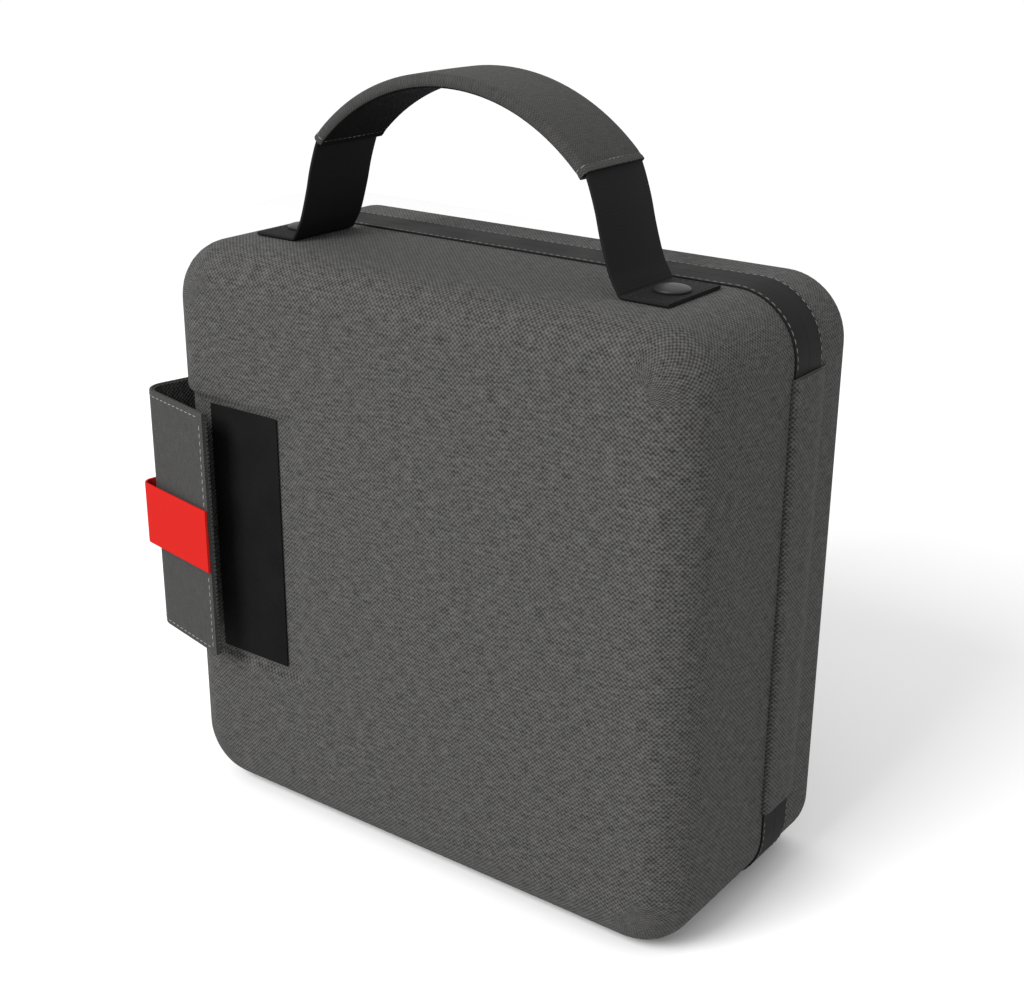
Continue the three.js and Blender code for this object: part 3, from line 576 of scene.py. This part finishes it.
def case_skin(name, face_y, direction, fillet, stations, recess=False, hole=None):
    """A shell: a face, a rounded edge and four sides, with the same again inside it, WALL away."""
    fillet_steps = 9
    layers = []
    for inner in (False, True):
        radius = fillet - WALL if inner else fillet
        base = face_y + direction * (WALL if inner else 0.0)
        shift = WALL if inner else 0.0
        sunk = recess and not inner
        rings = []
        for k in range(1, fillet_steps + 1):
            a = k / fillet_steps * math.pi / 2
            y = base + direction * radius * (1 - math.cos(a))
            rings.append(ring_points(y, shift + radius * (1 - math.sin(a)), math.sin(a), sunk))
        for y, inset in stations:
            rings.append(ring_points(y, WALL if inner else inset, 1.0, sunk and y <= TAPE_FRONT))
        layers.append((face_grid(base, shift + radius, sunk, direction), rings))
    per_side = [len(side) - 1 for side in SIDES]
    around = sum(per_side)
    rows, columns = len(layers[0][0]), len(layers[0][0][0])
    edge_index = [(j, columns - 1) for j in range(rows - 1)]
    edge_index += [(rows - 1, i) for i in range(columns - 1, 0, -1)]
    edge_index += [(j, 0) for j in range(rows - 1, 0, -1)]
    edge_index += [(0, i) for i in range(columns - 1)]
    side_of = [index for index, count in enumerate(per_side) for _ in range(count)]
    place_in = [k for count in per_side for k in range(count)]
    travel = [fillet * (k / fillet_steps * math.pi / 2) for k in range(fillet_steps + 1)]
    travel += [travel[-1] + abs(y - face_y - direction * fillet) for y, _ in stations]
    points, faces, uvs, slots = [], [], [], []
    starts = []
    for grid, rings in layers:
        starts.append(len(points))
        points += [p for row in grid for p in row]
        points += [p for ring in rings for p in ring]
    grid_size = rows * columns
    ys = [None] * (fillet_steps + 1) + [y for y, _ in stations]

    def at(layer, ring, i):
        i %= around
        if ring == 0:
            j, k = edge_index[i]
            return starts[layer] + j * columns + k
        return starts[layer] + grid_size + (ring - 1) * around + i

    def thread(i, ring, last):
        """Place along the threads of station i, seen from the side that holds station `last`."""
        index = side_of[last]
        step = place_in[last] + (1 if i != last else 0)
        along = SIDES[index][step][3]
        out = SIDE - fillet + travel[ring]
        rise = TOP - fillet + travel[ring]
        return [(out, along), (along, rise), (-out, along), (along, fillet - travel[ring])][index]

    def in_hole(i, ring):
        if hole is None or side_of[i] != 2 or ys[ring] is None:
            return False
        step = place_in[i]
        z = (SIDES[2][step][1] + SIDES[2][step + 1][1]) / 2
        y = (ys[ring] + ys[ring + 1]) / 2
        flat = SIDES[2][step][2] == SIDES[2][step + 1][2]
        return flat and hole["y"][0] < y < hole["y"][1] and hole["z"][0] < z < hole["z"][1]

    # The neighbour across each edge of a cell, and the edge's two ends as steps of station and ring.
    hole_edges = [
        ((-1, 0), (0, 0, 0, 1)),
        ((1, 0), (1, 0, 1, 1)),
        ((0, -1), (0, 0, 1, 0)),
        ((0, 1), (0, 1, 1, 1)),
    ]
    last_ring = fillet_steps + len(stations)
    for layer in (0, 1):
        for j in range(rows - 1):
            for k in range(columns - 1):
                a = starts[layer] + j * columns + k
                loop = [a, a + 1, a + columns + 1, a + columns]
                faces.append(loop)
                uvs.append([(points[p][0], points[p][2]) for p in loop])
                slots.append(layer)
        for ring in range(last_ring):
            for i in range(around):
                if in_hole(i, ring):
                    for (step_i, step_ring), (a, b, c, d) in hole_edges if layer == 0 else ():
                        if not in_hole((i + step_i) % around, ring + step_ring):
                            outer = [at(0, ring + b, i + a), at(0, ring + d, i + c)]
                            faces.append([*outer, at(1, ring + d, i + c), at(1, ring + b, i + a)])
                            uvs.append([(0, 0), (GRID, 0), (GRID, WALL), (0, WALL)])
                            slots.append(1)
                    continue
                loop = [(ring, i), (ring, i + 1), (ring + 1, i + 1), (ring + 1, i)]
                faces.append([at(layer, r, k) for r, k in loop])
                uvs.append([thread(k, r, i) for r, k in loop])
                slots.append(layer)
    for i in range(around):
        outer = [at(0, last_ring, i), at(0, last_ring, i + 1)]
        faces.append([*outer, at(1, last_ring, i + 1), at(1, last_ring, i)])
        uvs.append([(i, 0), (i + 1, 0), (i + 1, WALL), (i, WALL)])
        slots.append(1)
    obj = make_object(name, points, faces, uvs, slots)
    face_outwards(obj)
    return obj


front_stations = [(y, 0.0) for y in steps_between(FRONT + FRONT_FILLET, TAPE_FRONT, 5.0, WINDOW["y"])[1:]]
front_stations += [(TAPE_FRONT + 0.05, REBATE), (shell_high.y, REBATE)]
front_skin = case_skin("front_shell_fabric", FRONT, 1, FRONT_FILLET, front_stations, True, WINDOW)
finish_piece(front_skin, "case", [case_fabric, liner_fabric], ["front_shell"])

back_stations = [(y, 0.0) for y in steps_between(TAPE_BACK, BACK - BACK_FILLET, 5.0)[::-1][1:]]
back_stations += [(TAPE_BACK - 0.05, REBATE), (lid_low.y, REBATE)]
back_skin = case_skin("back_shell_fabric", BACK, -1, BACK_FILLET, back_stations)
finish_piece(back_skin, "lid", [case_fabric, liner_fabric], ["back_shell"])


# ---------- Zip band ----------
def round_case(inset, start_z, end_z, spacing=6.0):
    """Points and outward directions round the case, from the top of the hinge the long way to its foot."""
    radius = CORNER - inset
    x, low, high = SIDE - CORNER, CORNER, TOP - CORNER
    line = [(x + radius, z, 0) for z in steps_between(start_z, high, spacing)[:-1]]
    corners = [(x, high, 0), (-x, high, 90), (-x, low, 180), (x, low, 270)]
    straights = [
        [(a, high + radius, 90) for a in steps_between(-x, x, spacing)[::-1][1:-1]],
        [(-x - radius, a, 180) for a in steps_between(low, high, spacing)[::-1][1:-1]],
        [(a, low - radius, 270) for a in steps_between(-x, x, spacing)[1:-1]],
        [(x + radius, a, 0) for a in steps_between(low, end_z, spacing)[1:]],
    ]
    for (cx, cz, first), straight in zip(corners, straights):
        for k in range(17):
            angle = math.radians(first + 90 * k / 16)
            line.append((cx + radius * math.cos(angle), cz + radius * math.sin(angle), first + 90 * k / 16))
        line += straight
    points = np.array([[px, 0.0, pz] for px, pz, _ in line])
    outs = np.array([[math.cos(math.radians(a)), 0.0, math.sin(math.radians(a))] for _, _, a in line])
    return points, outs


def keep_above_ground(obj):
    for vertex in obj.data.vertices:
        vertex.co.z = max(vertex.co.z, 0.0)


TAPE_PROUD = 0.8
TAPE_THICK = 1.4


def zip_tape(name, node, y0, y1, body):
    line, outs = round_case(-TAPE_PROUD + TAPE_THICK / 2, HINGE_HIGH - 1, HINGE_LOW + 1)
    section = rounded_section(y1 - y0, TAPE_THICK, 0.12, 2)
    middle = np.array([0, (y0 + y1) / 2, 0])
    obj = sweep(name, [ring_at(p + middle, (0, 1, 0), o, section) for p, o in zip(line, outs)], sharp=20)
    keep_above_ground(obj)
    return finish_piece(obj, body, [tape_finish], [node])


zip_tape("front_zip_tape_finished", "front_zip_tape", TAPE_FRONT + 0.02, ZIP_LINE - 0.02, "case")
zip_tape("back_zip_tape_finished", "back_zip_tape", ZIP_LINE + 0.02, TAPE_BACK - 0.02, "lid")


def band_stitches(name, y, body):
    line, outs = round_case(-TAPE_PROUD, HINGE_HIGH + 3, HINGE_LOW - 3)
    keep = line[:, 2] > 0.5
    runs = []
    first = int(np.argmin(keep))
    last = len(keep) - 1 - int(np.argmin(keep[::-1]))
    for part in (slice(0, first), slice(last + 1, None)):
        runs.append((line[part] + [0, y, 0], outs[part]))
    return stitches(name, runs, body, light_thread, 2.6, 3.5, 0.42, 0.32)


band_stitches("front_tape_stitches", TAPE_FRONT + 1.1, "case")
band_stitches("back_tape_stitches", TAPE_BACK - 0.8, "lid")


def zip_coil(name, node, y, body):
    """Reverse coil: a row of small loops behind the tapes."""
    line, outs = round_case(REBATE + 1.0, HINGE_HIGH + 1, HINGE_LOW - 1, 1.9)
    steps = np.concatenate([[0], np.cumsum(np.linalg.norm(np.diff(line, axis=0), axis=1))])
    rings = []
    for place in np.arange(0, steps[-1], 0.6):
        centre = np.array([np.interp(place, steps, line[:, k]) for k in range(3)])
        out = unit([np.interp(place, steps, outs[:, k]) for k in range(3)])
        swell = 0.86 + 0.14 * math.cos(2 * math.pi * place / 1.8)
        rings.append(ring_at(centre + [0, y, 0], (0, 1, 0), out, rounded_section(2.3, 1.8, 0.85, 2) * swell))
    obj = sweep(name, rings, sharp=80)
    keep_above_ground(obj)
    return finish_piece(obj, body, [coil_finish], [node])


zip_coil("front_zip_coil_finished", "front_zip_coil", ZIP_LINE - 1.42, "case")
zip_coil("back_zip_coil_finished", "back_zip_coil", ZIP_LINE + 1.42, "lid")


# ---------- Fabric hinge ----------
def hinge_fabric():
    top = [(11.5, 0.1), (11.3, 0.9), (11.6, 1.7), (12.4, 2.4), (13.8, 2.85), (15.6, 3.0)]
    top += [(y, 3.0) for y in np.arange(17.0, 29.6, 1.25)]
    top += [(31.5, 2.85), (34, 2.4), (36.5, 1.75), (38.8, 1.05), (40.4, 0.5), (41.2, 0.05)]
    under = [(y, 0.02) for y in np.arange(38, 12, -1.6)]
    section = np.array(top + under)
    near_ends = (HINGE_LOW + 0.7, HINGE_HIGH - 0.7, HINGE_LOW + 2, HINGE_HIGH - 2)
    rings = []
    for z in steps_between(HINGE_LOW, HINGE_HIGH, 5.0, near_ends):
        ends = min(z - HINGE_LOW, HINGE_HIGH - z)
        lift = 0.8 + 0.2 * smooth_step(ends / 1.6)
        rings.append([[SIDE + b * lift, a, z] for a, b in section])
    return sweep("hinge_panel_fabric", rings, sharp=50)


hinge_cloth = hinge_fabric()
bend_height = (HINGE_LOW + HINGE_HIGH) / 2 * MM
finish_piece(
    hinge_cloth, None, [case_fabric], ["hinge_panel_front", "hinge_panel_back"],
    blend=("case", "lid", (SIDE * MM, 0.0190, bend_height), (SIDE * MM, 0.0289, bend_height)),
)

# ---------- Handle ----------
strap_low, strap_high = (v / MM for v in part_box("handle_strap"))
grip_low, grip_high = (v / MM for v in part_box("handle_grip_cover"))
STRAP_Y = (strap_low.y + strap_high.y) / 2
STRAP_WIDTH = strap_high.y - strap_low.y
STRAP_THICK = 1.5
GRIP_RADIUS = 96.8
GRIP_THICK = 6.0
GRIP_ANGLE = 47.2
GRIP_CENTRE = grip_high.z - GRIP_RADIUS
STRAP_RADIUS = GRIP_RADIUS - 1.0 - STRAP_THICK / 2 - 0.45


def on_arc(radius, degrees):
    angle = math.radians(degrees)
    return np.array([radius * math.sin(angle), STRAP_Y, GRIP_CENTRE + radius * math.cos(angle)])


def strap_line():
    """Centre line of the webbing, from the grip's middle down to the end of the right pad."""
    pad = TOP + GAP + STRAP_THICK / 2
    arc = [on_arc(STRAP_RADIUS, a) for a in np.linspace(0, GRIP_ANGLE, 16)]
    leg = [(71.6, 314.2), (74.4, 305.8), (77.1, 295.4), (81, 283.4), (84.3, 277.3), (86.2, pad + 0.25)]
    flat = [(x, pad) for x in (87.3, 91, 95, 99, 103, strap_high.x)]
    lower = [np.array([x, STRAP_Y, z]) for x, z in leg]
    pads = [np.array([x, STRAP_Y, z]) for x, z in flat]
    return np.concatenate([np.array(arc[:-1]), smooth_line([arc[-1], *lower], 6), pads])


def mirrored(line):
    flipped = line[::-1].copy()
    flipped[:, 0] *= -1
    return np.concatenate([flipped[:-1], line])


def normals_of(line):
    return np.array([unit(np.cross(t, (0, 1, 0))) * -1 for t in tangents(line)])


right_half = strap_line()
whole_strap = mirrored(right_half)
strap_out = normals_of(whole_strap)
strap_section = rounded_section(STRAP_WIDTH, STRAP_THICK, 0.6, 3)
strap = sweep(
    "handle_strap_webbing",
    [ring_at(p, (0, 1, 0), o, strap_section) for p, o in zip(whole_strap, strap_out)],
    sharp=60,
)
finish_piece(strap, "case", [black_webbing], ["handle_strap"])


HEM = 1.7  # degrees from the end of the grip to its hem stitches


def grip_cover():
    """Padded sleeve with a turned-in hem at each end."""
    middle = GRIP_RADIUS - GRIP_THICK / 2
    width = grip_high.y - grip_low.y
    outer = rounded_section(width, GRIP_THICK, 2.9, 6, crown=0.15)
    inner = rounded_section(width - 2.4, GRIP_THICK - 2.2, 1.9, 6, crown=0.1)

    def ring(degrees, section, scale=1.0):
        out = unit(on_arc(1, degrees) - on_arc(0, degrees))
        return ring_at(on_arc(middle, degrees), (0, 1, 0), out, section * [1.0, scale])

    rings = [ring(-GRIP_ANGLE + d, inner, 0.95) for d in (5.0, 2.5, 0.8, 0.2)]
    for degrees in np.concatenate([
        [-GRIP_ANGLE + d for d in (0, 0.3, 0.8, 1.3, 1.7, 2.1, 2.7, 3.6)],
        np.linspace(-GRIP_ANGLE + 5, GRIP_ANGLE - 5, 40),
        [GRIP_ANGLE - d for d in (3.6, 2.7, 2.1, 1.7, 1.3, 0.8, 0.3, 0)],
    ]):
        end = GRIP_ANGLE - abs(degrees)
        flare = 1.06 if end < 0.9 else 1.0 - 0.06 * math.exp(-((end - HEM) / 0.5) ** 2)
        rings.append(ring(degrees, outer, flare))
    rings += [ring(GRIP_ANGLE - d, inner, 0.95) for d in (0.2, 0.8, 2.5, 5.0)]
    obj = sweep("handle_grip_fabric", rings, sharp=60)
    # Faces on the inner side of the arc take the second slot, the near-black hook finish, so the grip is
    # near-black underneath.
    centre = on_arc(0, 0)
    for face in obj.data.polygons:
        place = np.array(face.center) / MM - centre
        if np.dot(unit([place[0], 0, place[2]]), np.array(face.normal)) < -0.75:
            face.material_index = 1
    hems = []
    for degrees in (-GRIP_ANGLE + HEM, GRIP_ANGLE - HEM):
        loop = ring(degrees, outer, 0.945)
        loop = np.vstack([loop, loop[:1]])
        hems.append((loop, [unit(p - on_arc(middle, degrees)) for p in loop]))
    return obj, hems


grip, hem_runs = grip_cover()
finish_piece(grip, "case", [flap_fabric, hook_finish], ["handle_grip_cover"])
stitches("grip_hem_stitches", hem_runs, "case", pale_thread, 2.4, 3.0, 0.4, 0.34)


def pad_runs():
    """Box of thread that sews each end of the webbing down."""
    runs = []
    height = TOP + GAP + STRAP_THICK
    for sign in (-1, 1):
        near, far = sign * 89.4, sign * (strap_high.x - 1.8)
        edges = [STRAP_Y - STRAP_WIDTH / 2 + 1.8, STRAP_Y + STRAP_WIDTH / 2 - 1.8]
        corners = [(near, edges[0]), (near, edges[1]), (far, edges[1]), (far, edges[0]), (near, edges[0])]
        for a, b in zip(corners, corners[1:]):
            runs.append(([(*a, height), (*b, height)], [(0, 0, 1)] * 2))
    return runs


stitches("strap_pad_stitches", pad_runs(), "case", dark_thread, 2.2, 3.0, 0.45, 0.3)


def turned(name, profile, x, y, steps=48):
    """Round piece about a vertical axis; the profile runs from the axis below to the axis above."""
    angles = [2 * math.pi * k / steps for k in range(steps)]
    rings = []
    for radius, z in profile[1:-1]:
        rings.append([[x + radius * math.cos(a), y + radius * math.sin(a), z] for a in angles])
    return sweep(name, rings, sharp=40)


def handle_rivet(side_name):
    node = f"handle_rivet_{side_name}"
    low, high = (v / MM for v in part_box(node))
    x = (low.x + high.x) / 2
    head = (high.x - low.x) / 2
    seat = TOP + GAP + STRAP_THICK + 0.1
    dome = [(head * math.cos(a), seat + 0.75 + 1.55 * math.sin(a)) for a in np.linspace(0, 1.5, 12)]
    flange, shank = 3.4, 2.0
    below = [(0, low.z), (flange, low.z), (flange, low.z + 0.9), (shank, low.z + 0.9), (shank, seat)]
    rim = [(head - 0.35, seat), (head - 0.05, seat + 0.25)]
    profile = [*below, *rim, *dome, (0.3, dome[-1][1]), (0, dome[-1][1])]
    obj = turned(f"{node}_cap", profile, x, STRAP_Y)
    return finish_piece(obj, "case", [rivet_finish], [node])


for side_name in ("left", "right"):
    handle_rivet(side_name)

# ---------- Flap ----------
flap_joint = next(j for j in frame["joints"] if j["name"] == "flap_hinge")
FLAP_PIVOT = np.array([c / MM for c in flap_joint["pos_m"]])
FLAP_OPEN = math.radians(-flap_joint["range_deg"][0])
flap_low, flap_high = (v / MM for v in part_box("flap_panel"))
band_low, band_high = (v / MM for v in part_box("flap_pull_band"))
FLAP_SIDE = -SIDE - 0.6
FLAP_FACE = FRONT - 4.2
FLAP_EDGE = -86.2
FLAP_BEND = 10.0
PANEL_THICK = 1.6
LINING_THICK = 0.85
BAND_THICK = 1.2
BAND_OUT = 1.5  # how far the band's outer face stands off the flap's
BAND_BEND = 5.0
BAND_LOOSE = 2.0


def flap_line(offset, start_y, edge_x, spacing=4.0, bend=None, loose=0.0):
    """Line of a layer of the open flap, and its outward directions, offset inward from the outer face.
    bend is the radius of the layer's corner, and loose is how far its corner stands off to the front."""
    reach = FLAP_BEND - offset if bend is None else bend
    corner_x, corner_y = FLAP_SIDE + offset, FLAP_FACE + offset - loose
    centre = np.array([corner_x + reach, corner_y + reach])
    line = [(corner_x, y, -1, 0) for y in steps_between(centre[1], start_y, spacing)[::-1][:-1]]
    for k in range(11):
        a = k / 10 * math.pi / 2
        out_x, out_y = -math.cos(a), -math.sin(a)
        line.append((centre[0] + reach * out_x, centre[1] + reach * out_y, out_x, out_y))
    for x in steps_between(centre[0], edge_x, spacing)[1:]:
        line.append((x, corner_y + loose * (x - centre[0]) / (edge_x - centre[0]), 0, -1))
    cosine, sine = math.cos(-FLAP_OPEN), math.sin(-FLAP_OPEN)
    points, outs = [], []
    for x, y, ox, oy in line:
        dx, dy = x - FLAP_PIVOT[0], y - FLAP_PIVOT[1]
        points.append([FLAP_PIVOT[0] + dx * cosine - dy * sine, FLAP_PIVOT[1] + dx * sine + dy * cosine, 0.0])
        outs.append([ox * cosine - oy * sine, ox * sine + oy * cosine, 0.0])
    return np.array(points), np.array(outs)


def flap_layer(name, offset, thickness, low, high, start_y, edge_x, radius, bend=None, loose=0.0):
    line, outs = flap_line(offset + thickness / 2, start_y, edge_x, 4.0, bend, loose)
    section = rounded_section(high - low, thickness, radius, 3)
    middle = np.array([0, 0, (low + high) / 2])
    return sweep(name, [ring_at(p + middle, (0, 0, 1), o, section) for p, o in zip(line, outs)], sharp=60)


finish_piece(
    flap_layer(
        "flap_outer_fabric", 0.0, PANEL_THICK, flap_low.z, flap_high.z,
        start_y=11.7, edge_x=FLAP_EDGE, radius=0.6,
    ),
    "flap", [flap_fabric], ["flap_panel"],
)
finish_piece(
    flap_layer(
        "flap_lining", 1.62, LINING_THICK, flap_low.z + 0.5, flap_high.z - 0.5,
        start_y=9.7, edge_x=FLAP_EDGE + 0.35, radius=0.3,
    ),
    "flap", [liner_fabric], ["flap_liner"],
)
finish_piece(
    flap_layer(
        "flap_pull_webbing", -BAND_OUT, BAND_THICK, band_low.z, band_high.z,
        start_y=-44.0, edge_x=FLAP_EDGE, radius=0.4, bend=BAND_BEND, loose=BAND_LOOSE,
    ),
    "flap", [red_webbing], ["flap_pull_band"],
)


def flap_runs():
    runs = []
    line, outs = flap_line(0.0, 9.0, FLAP_EDGE - 2.6)
    for z in (flap_low.z + 2.6, flap_high.z - 2.6):
        runs.append((line + [0, 0, z], outs))
    for low, high in ((flap_low.z + 3, band_low.z - 0.5), (band_high.z + 0.5, flap_high.z - 3)):
        runs.append(([line[-1] + [0, 0, low], line[-1] + [0, 0, high]], [outs[-1]] * 2))
    return runs


stitches("flap_stitches", flap_runs(), "flap", pale_thread, 2.7, 3.7, 0.5, 0.4)


# ---------- Window binding and hook patch ----------
def closed_band(name, corners_low, corners_high, radius, section, x, body, material):
    """Band round a rounded rectangle in Y and Z, facing left."""
    (y0, z0), (y1, z1) = corners_low, corners_high
    near_y, far_y, near_z, far_z = y0 + radius, y1 - radius, z0 + radius, z1 - radius
    centres = [(far_y, far_z), (near_y, far_z), (near_y, near_z), (far_y, near_z)]
    rings = []
    for quarter, (cy, cz) in enumerate(centres):
        for k in range(9):
            angle = (quarter + k / 8) * math.pi / 2
            out = np.array([0, math.cos(angle), math.sin(angle)])
            rings.append(ring_at(np.array([x, cy, cz]) + out * radius, out, (-1, 0, 0), section))
    obj = sweep(name, rings, sharp=60, closed=True)
    return finish_piece(obj, body, [material])


BINDING_OUT = 1.5  # how far the binding's line lies outside the window
closed_band(
    "window_binding",
    (WINDOW["y"][0] - BINDING_OUT, WINDOW["z"][0] - BINDING_OUT),
    (WINDOW["y"][1] + BINDING_OUT, WINDOW["z"][1] + BINDING_OUT),
    4.0,
    rounded_section(5.0, 0.6, 0.25, 2), -SIDE + RECESS_DEPTH - 0.2, "case", black_webbing,
)
refine("hook_patch", hook_finish, 0.25, 2)


# ---------- Zip sliders and pulls ----------
def slider_parts(which):
    low, high = (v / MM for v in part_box(f"zip_slider_{which}"))
    y, z = (low.y + high.y) / 2, (low.z + high.z) / 2
    shares = {0.0: 0.9, 0.5: 1.0, 1.4: 0.98, 1.9: 0.86, 2.1: 0.7}  # size of the body at each height
    rings = []
    for height, share in shares.items():
        section = rounded_section(10 * share, 14 * share, 2.8 * share, 5)
        section[:, 0] *= 1 - 0.12 * (section[:, 1] > 0) * section[:, 1] / 7
        rings.append([[high.x - height, y + a, z + b] for a, b in section])
    body = sweep(f"zip_slider_{which}_body", rings, sharp=50)
    finish_piece(body, f"{which}_slider", [rivet_finish], [f"zip_slider_{which}"])
    arch = [(high.x - 1.7, z - 4.6), (high.x - 2.7, z - 4.0), (low.x + 0.1, z - 1.5)]
    arch += [(low.x + 0.1, z + 1.5), (high.x - 2.7, z + 4.0), (high.x - 1.7, z + 4.6)]
    line = smooth_line([np.array([x, y, h]) for x, h in arch], 5)
    outs = normals_of(line)
    bail_section = rounded_section(2.0, 0.9, 0.4, 3)
    bail_rings = [ring_at(p, (0, 1, 0), o, bail_section) for p, o in zip(line, outs)]
    bail = sweep(f"zip_bail_{which}", bail_rings, sharp=60)
    finish_piece(bail, f"{which}_slider", [rivet_finish])


def pull_tab(which):
    low, high = (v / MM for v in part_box(f"zip_pull_{which}"))
    x, y = (low.x + high.x) / 2, (low.y + high.y) / 2
    half_w = (high.y - low.y) / 2 - 0.9
    centre_top, centre_low = high.z - 0.9 - half_w, low.z + 0.9 + half_w
    cord = rounded_section(1.8, 1.4, 0.6, 3)
    rings = []
    for centre, first in ((centre_top, 0), (centre_low, math.pi)):
        for k in range(13):
            angle = first + k / 12 * math.pi
            out = np.array([0, math.cos(angle), math.sin(angle)])
            rings.append(ring_at(np.array([x, y, centre]) + out * half_w, out, (-1, 0, 0), cord))
    loop = sweep(f"zip_pull_{which}_loop", rings, sharp=60, closed=True)
    finish_piece(loop, f"{which}_pull", [panel_finish], [f"zip_pull_{which}"])
    flat = rounded_section(2 * half_w, 0.9, 0.35, 2)
    heights_of_web = np.linspace(centre_low - 1, centre_top - 5, 8)
    web = [ring_at((x, y, z), (0, 1, 0), (-1, 0, 0), flat) for z in heights_of_web]
    grip_web = sweep(f"zip_pull_{which}_web", web, sharp=60)
    finish_piece(grip_web, f"{which}_pull", [black_webbing])


for which in ("lower", "upper"):
    slider_parts(which)
    pull_tab(which)

# ---------- Inside the case ----------
for node, bevel in (("front_foam", 0.8), ("back_foam", 0.8), ("handle_grip_foam", 0.5)):
    refine(node, foam_finish, bevel)
for which in ("lower", "upper"):
    refine(f"retaining_strap_{which}", panel_finish, 0.4)
for node in ("unit_housing", "unit_back_plate"):
    refine(node, housing_finish, 0.7)
for node in ("fan_frame", "fan_rotor"):
    refine(node, housing_finish, 0.3, 2)
for node in ("port_panel", "ac_socket", "usb_a_port_1", "usb_a_port_2", "usb_c_port_1", "usb_c_port_2"):
    refine(node, panel_finish, 0.35 if node in ("port_panel", "ac_socket") else 0.15, 2)
for node in ("power_button", "ac_button"):
    refine(node, button_finish, 0.35)
refine("display_lens", display_finish, 0.4)
refine("input_socket", steel_finish, 0.2, 2)

carried = [
    (steel_finish, ["handle_washer_left", "handle_washer_right"]),
    (steel_finish, [f"back_plate_screw_{i}" for i in range(1, 5)]),
    (cell_finish, [f"battery_cell_{i}" for i in range(1, 9)]),
    (board_finish, ["battery_board", "inverter_board", "main_board"]),
    (sink_finish, ["inverter_heat_sink"]),
    (winding_finish, ["transformer"]),
    (housing_finish, ["filter_capacitor"]),
]
for material, members in carried:
    for node in members:
        for slot in frame["nodes"][node].material_slots:
            slot.material = material


# ---------- Studio ----------
def add_stage():
    mesh = bpy.data.meshes.new("floor")
    reach = 1.2
    corners = [(-reach, -reach, 0), (reach, -reach, 0), (reach, reach, 0), (-reach, reach, 0)]
    mesh.from_pydata(corners, [], [(0, 1, 2, 3)])
    floor = bpy.data.objects.new("floor", mesh)
    floor.location.z = -0.0004
    bpy.context.scene.collection.objects.link(floor)
    s = Shader("floor_finish", roughness=0.9, specular=0.1)
    shade = s.noise(s.place(), 2.0)
    mesh.materials.append(s.finish(s.mix(shade, (0.74, 0.74, 0.74), (0.77, 0.77, 0.77))))


def add_light(name, place, aim, size, power):
    data = bpy.data.lights.new(name, "AREA")
    data.shape = "SQUARE"
    data.size = size
    data.energy = power
    light = bpy.data.objects.new(name, data)
    light.location = place
    direction = Vector(aim) - Vector(place)
    light.rotation_euler = direction.to_track_quat("-Z", "Y").to_euler()
    bpy.context.scene.collection.objects.link(light)


add_stage()
MIDDLE = (0, 0, 0.15)
add_light("key", (-0.35, -1.75, 1.5), MIDDLE, 1.1, 66)
add_light("top", (0.2, 0.5, 1.9), MIDDLE, 1.2, 3)
world = bpy.data.worlds.new("studio")
bpy.context.scene.world = world
world.use_nodes = True
world.node_tree.nodes["Background"].inputs["Color"].default_value = (1, 1, 1, 1)
world.node_tree.nodes["Background"].inputs["Strength"].default_value = 1.03
bpy.context.scene.view_settings.view_transform = "Standard"
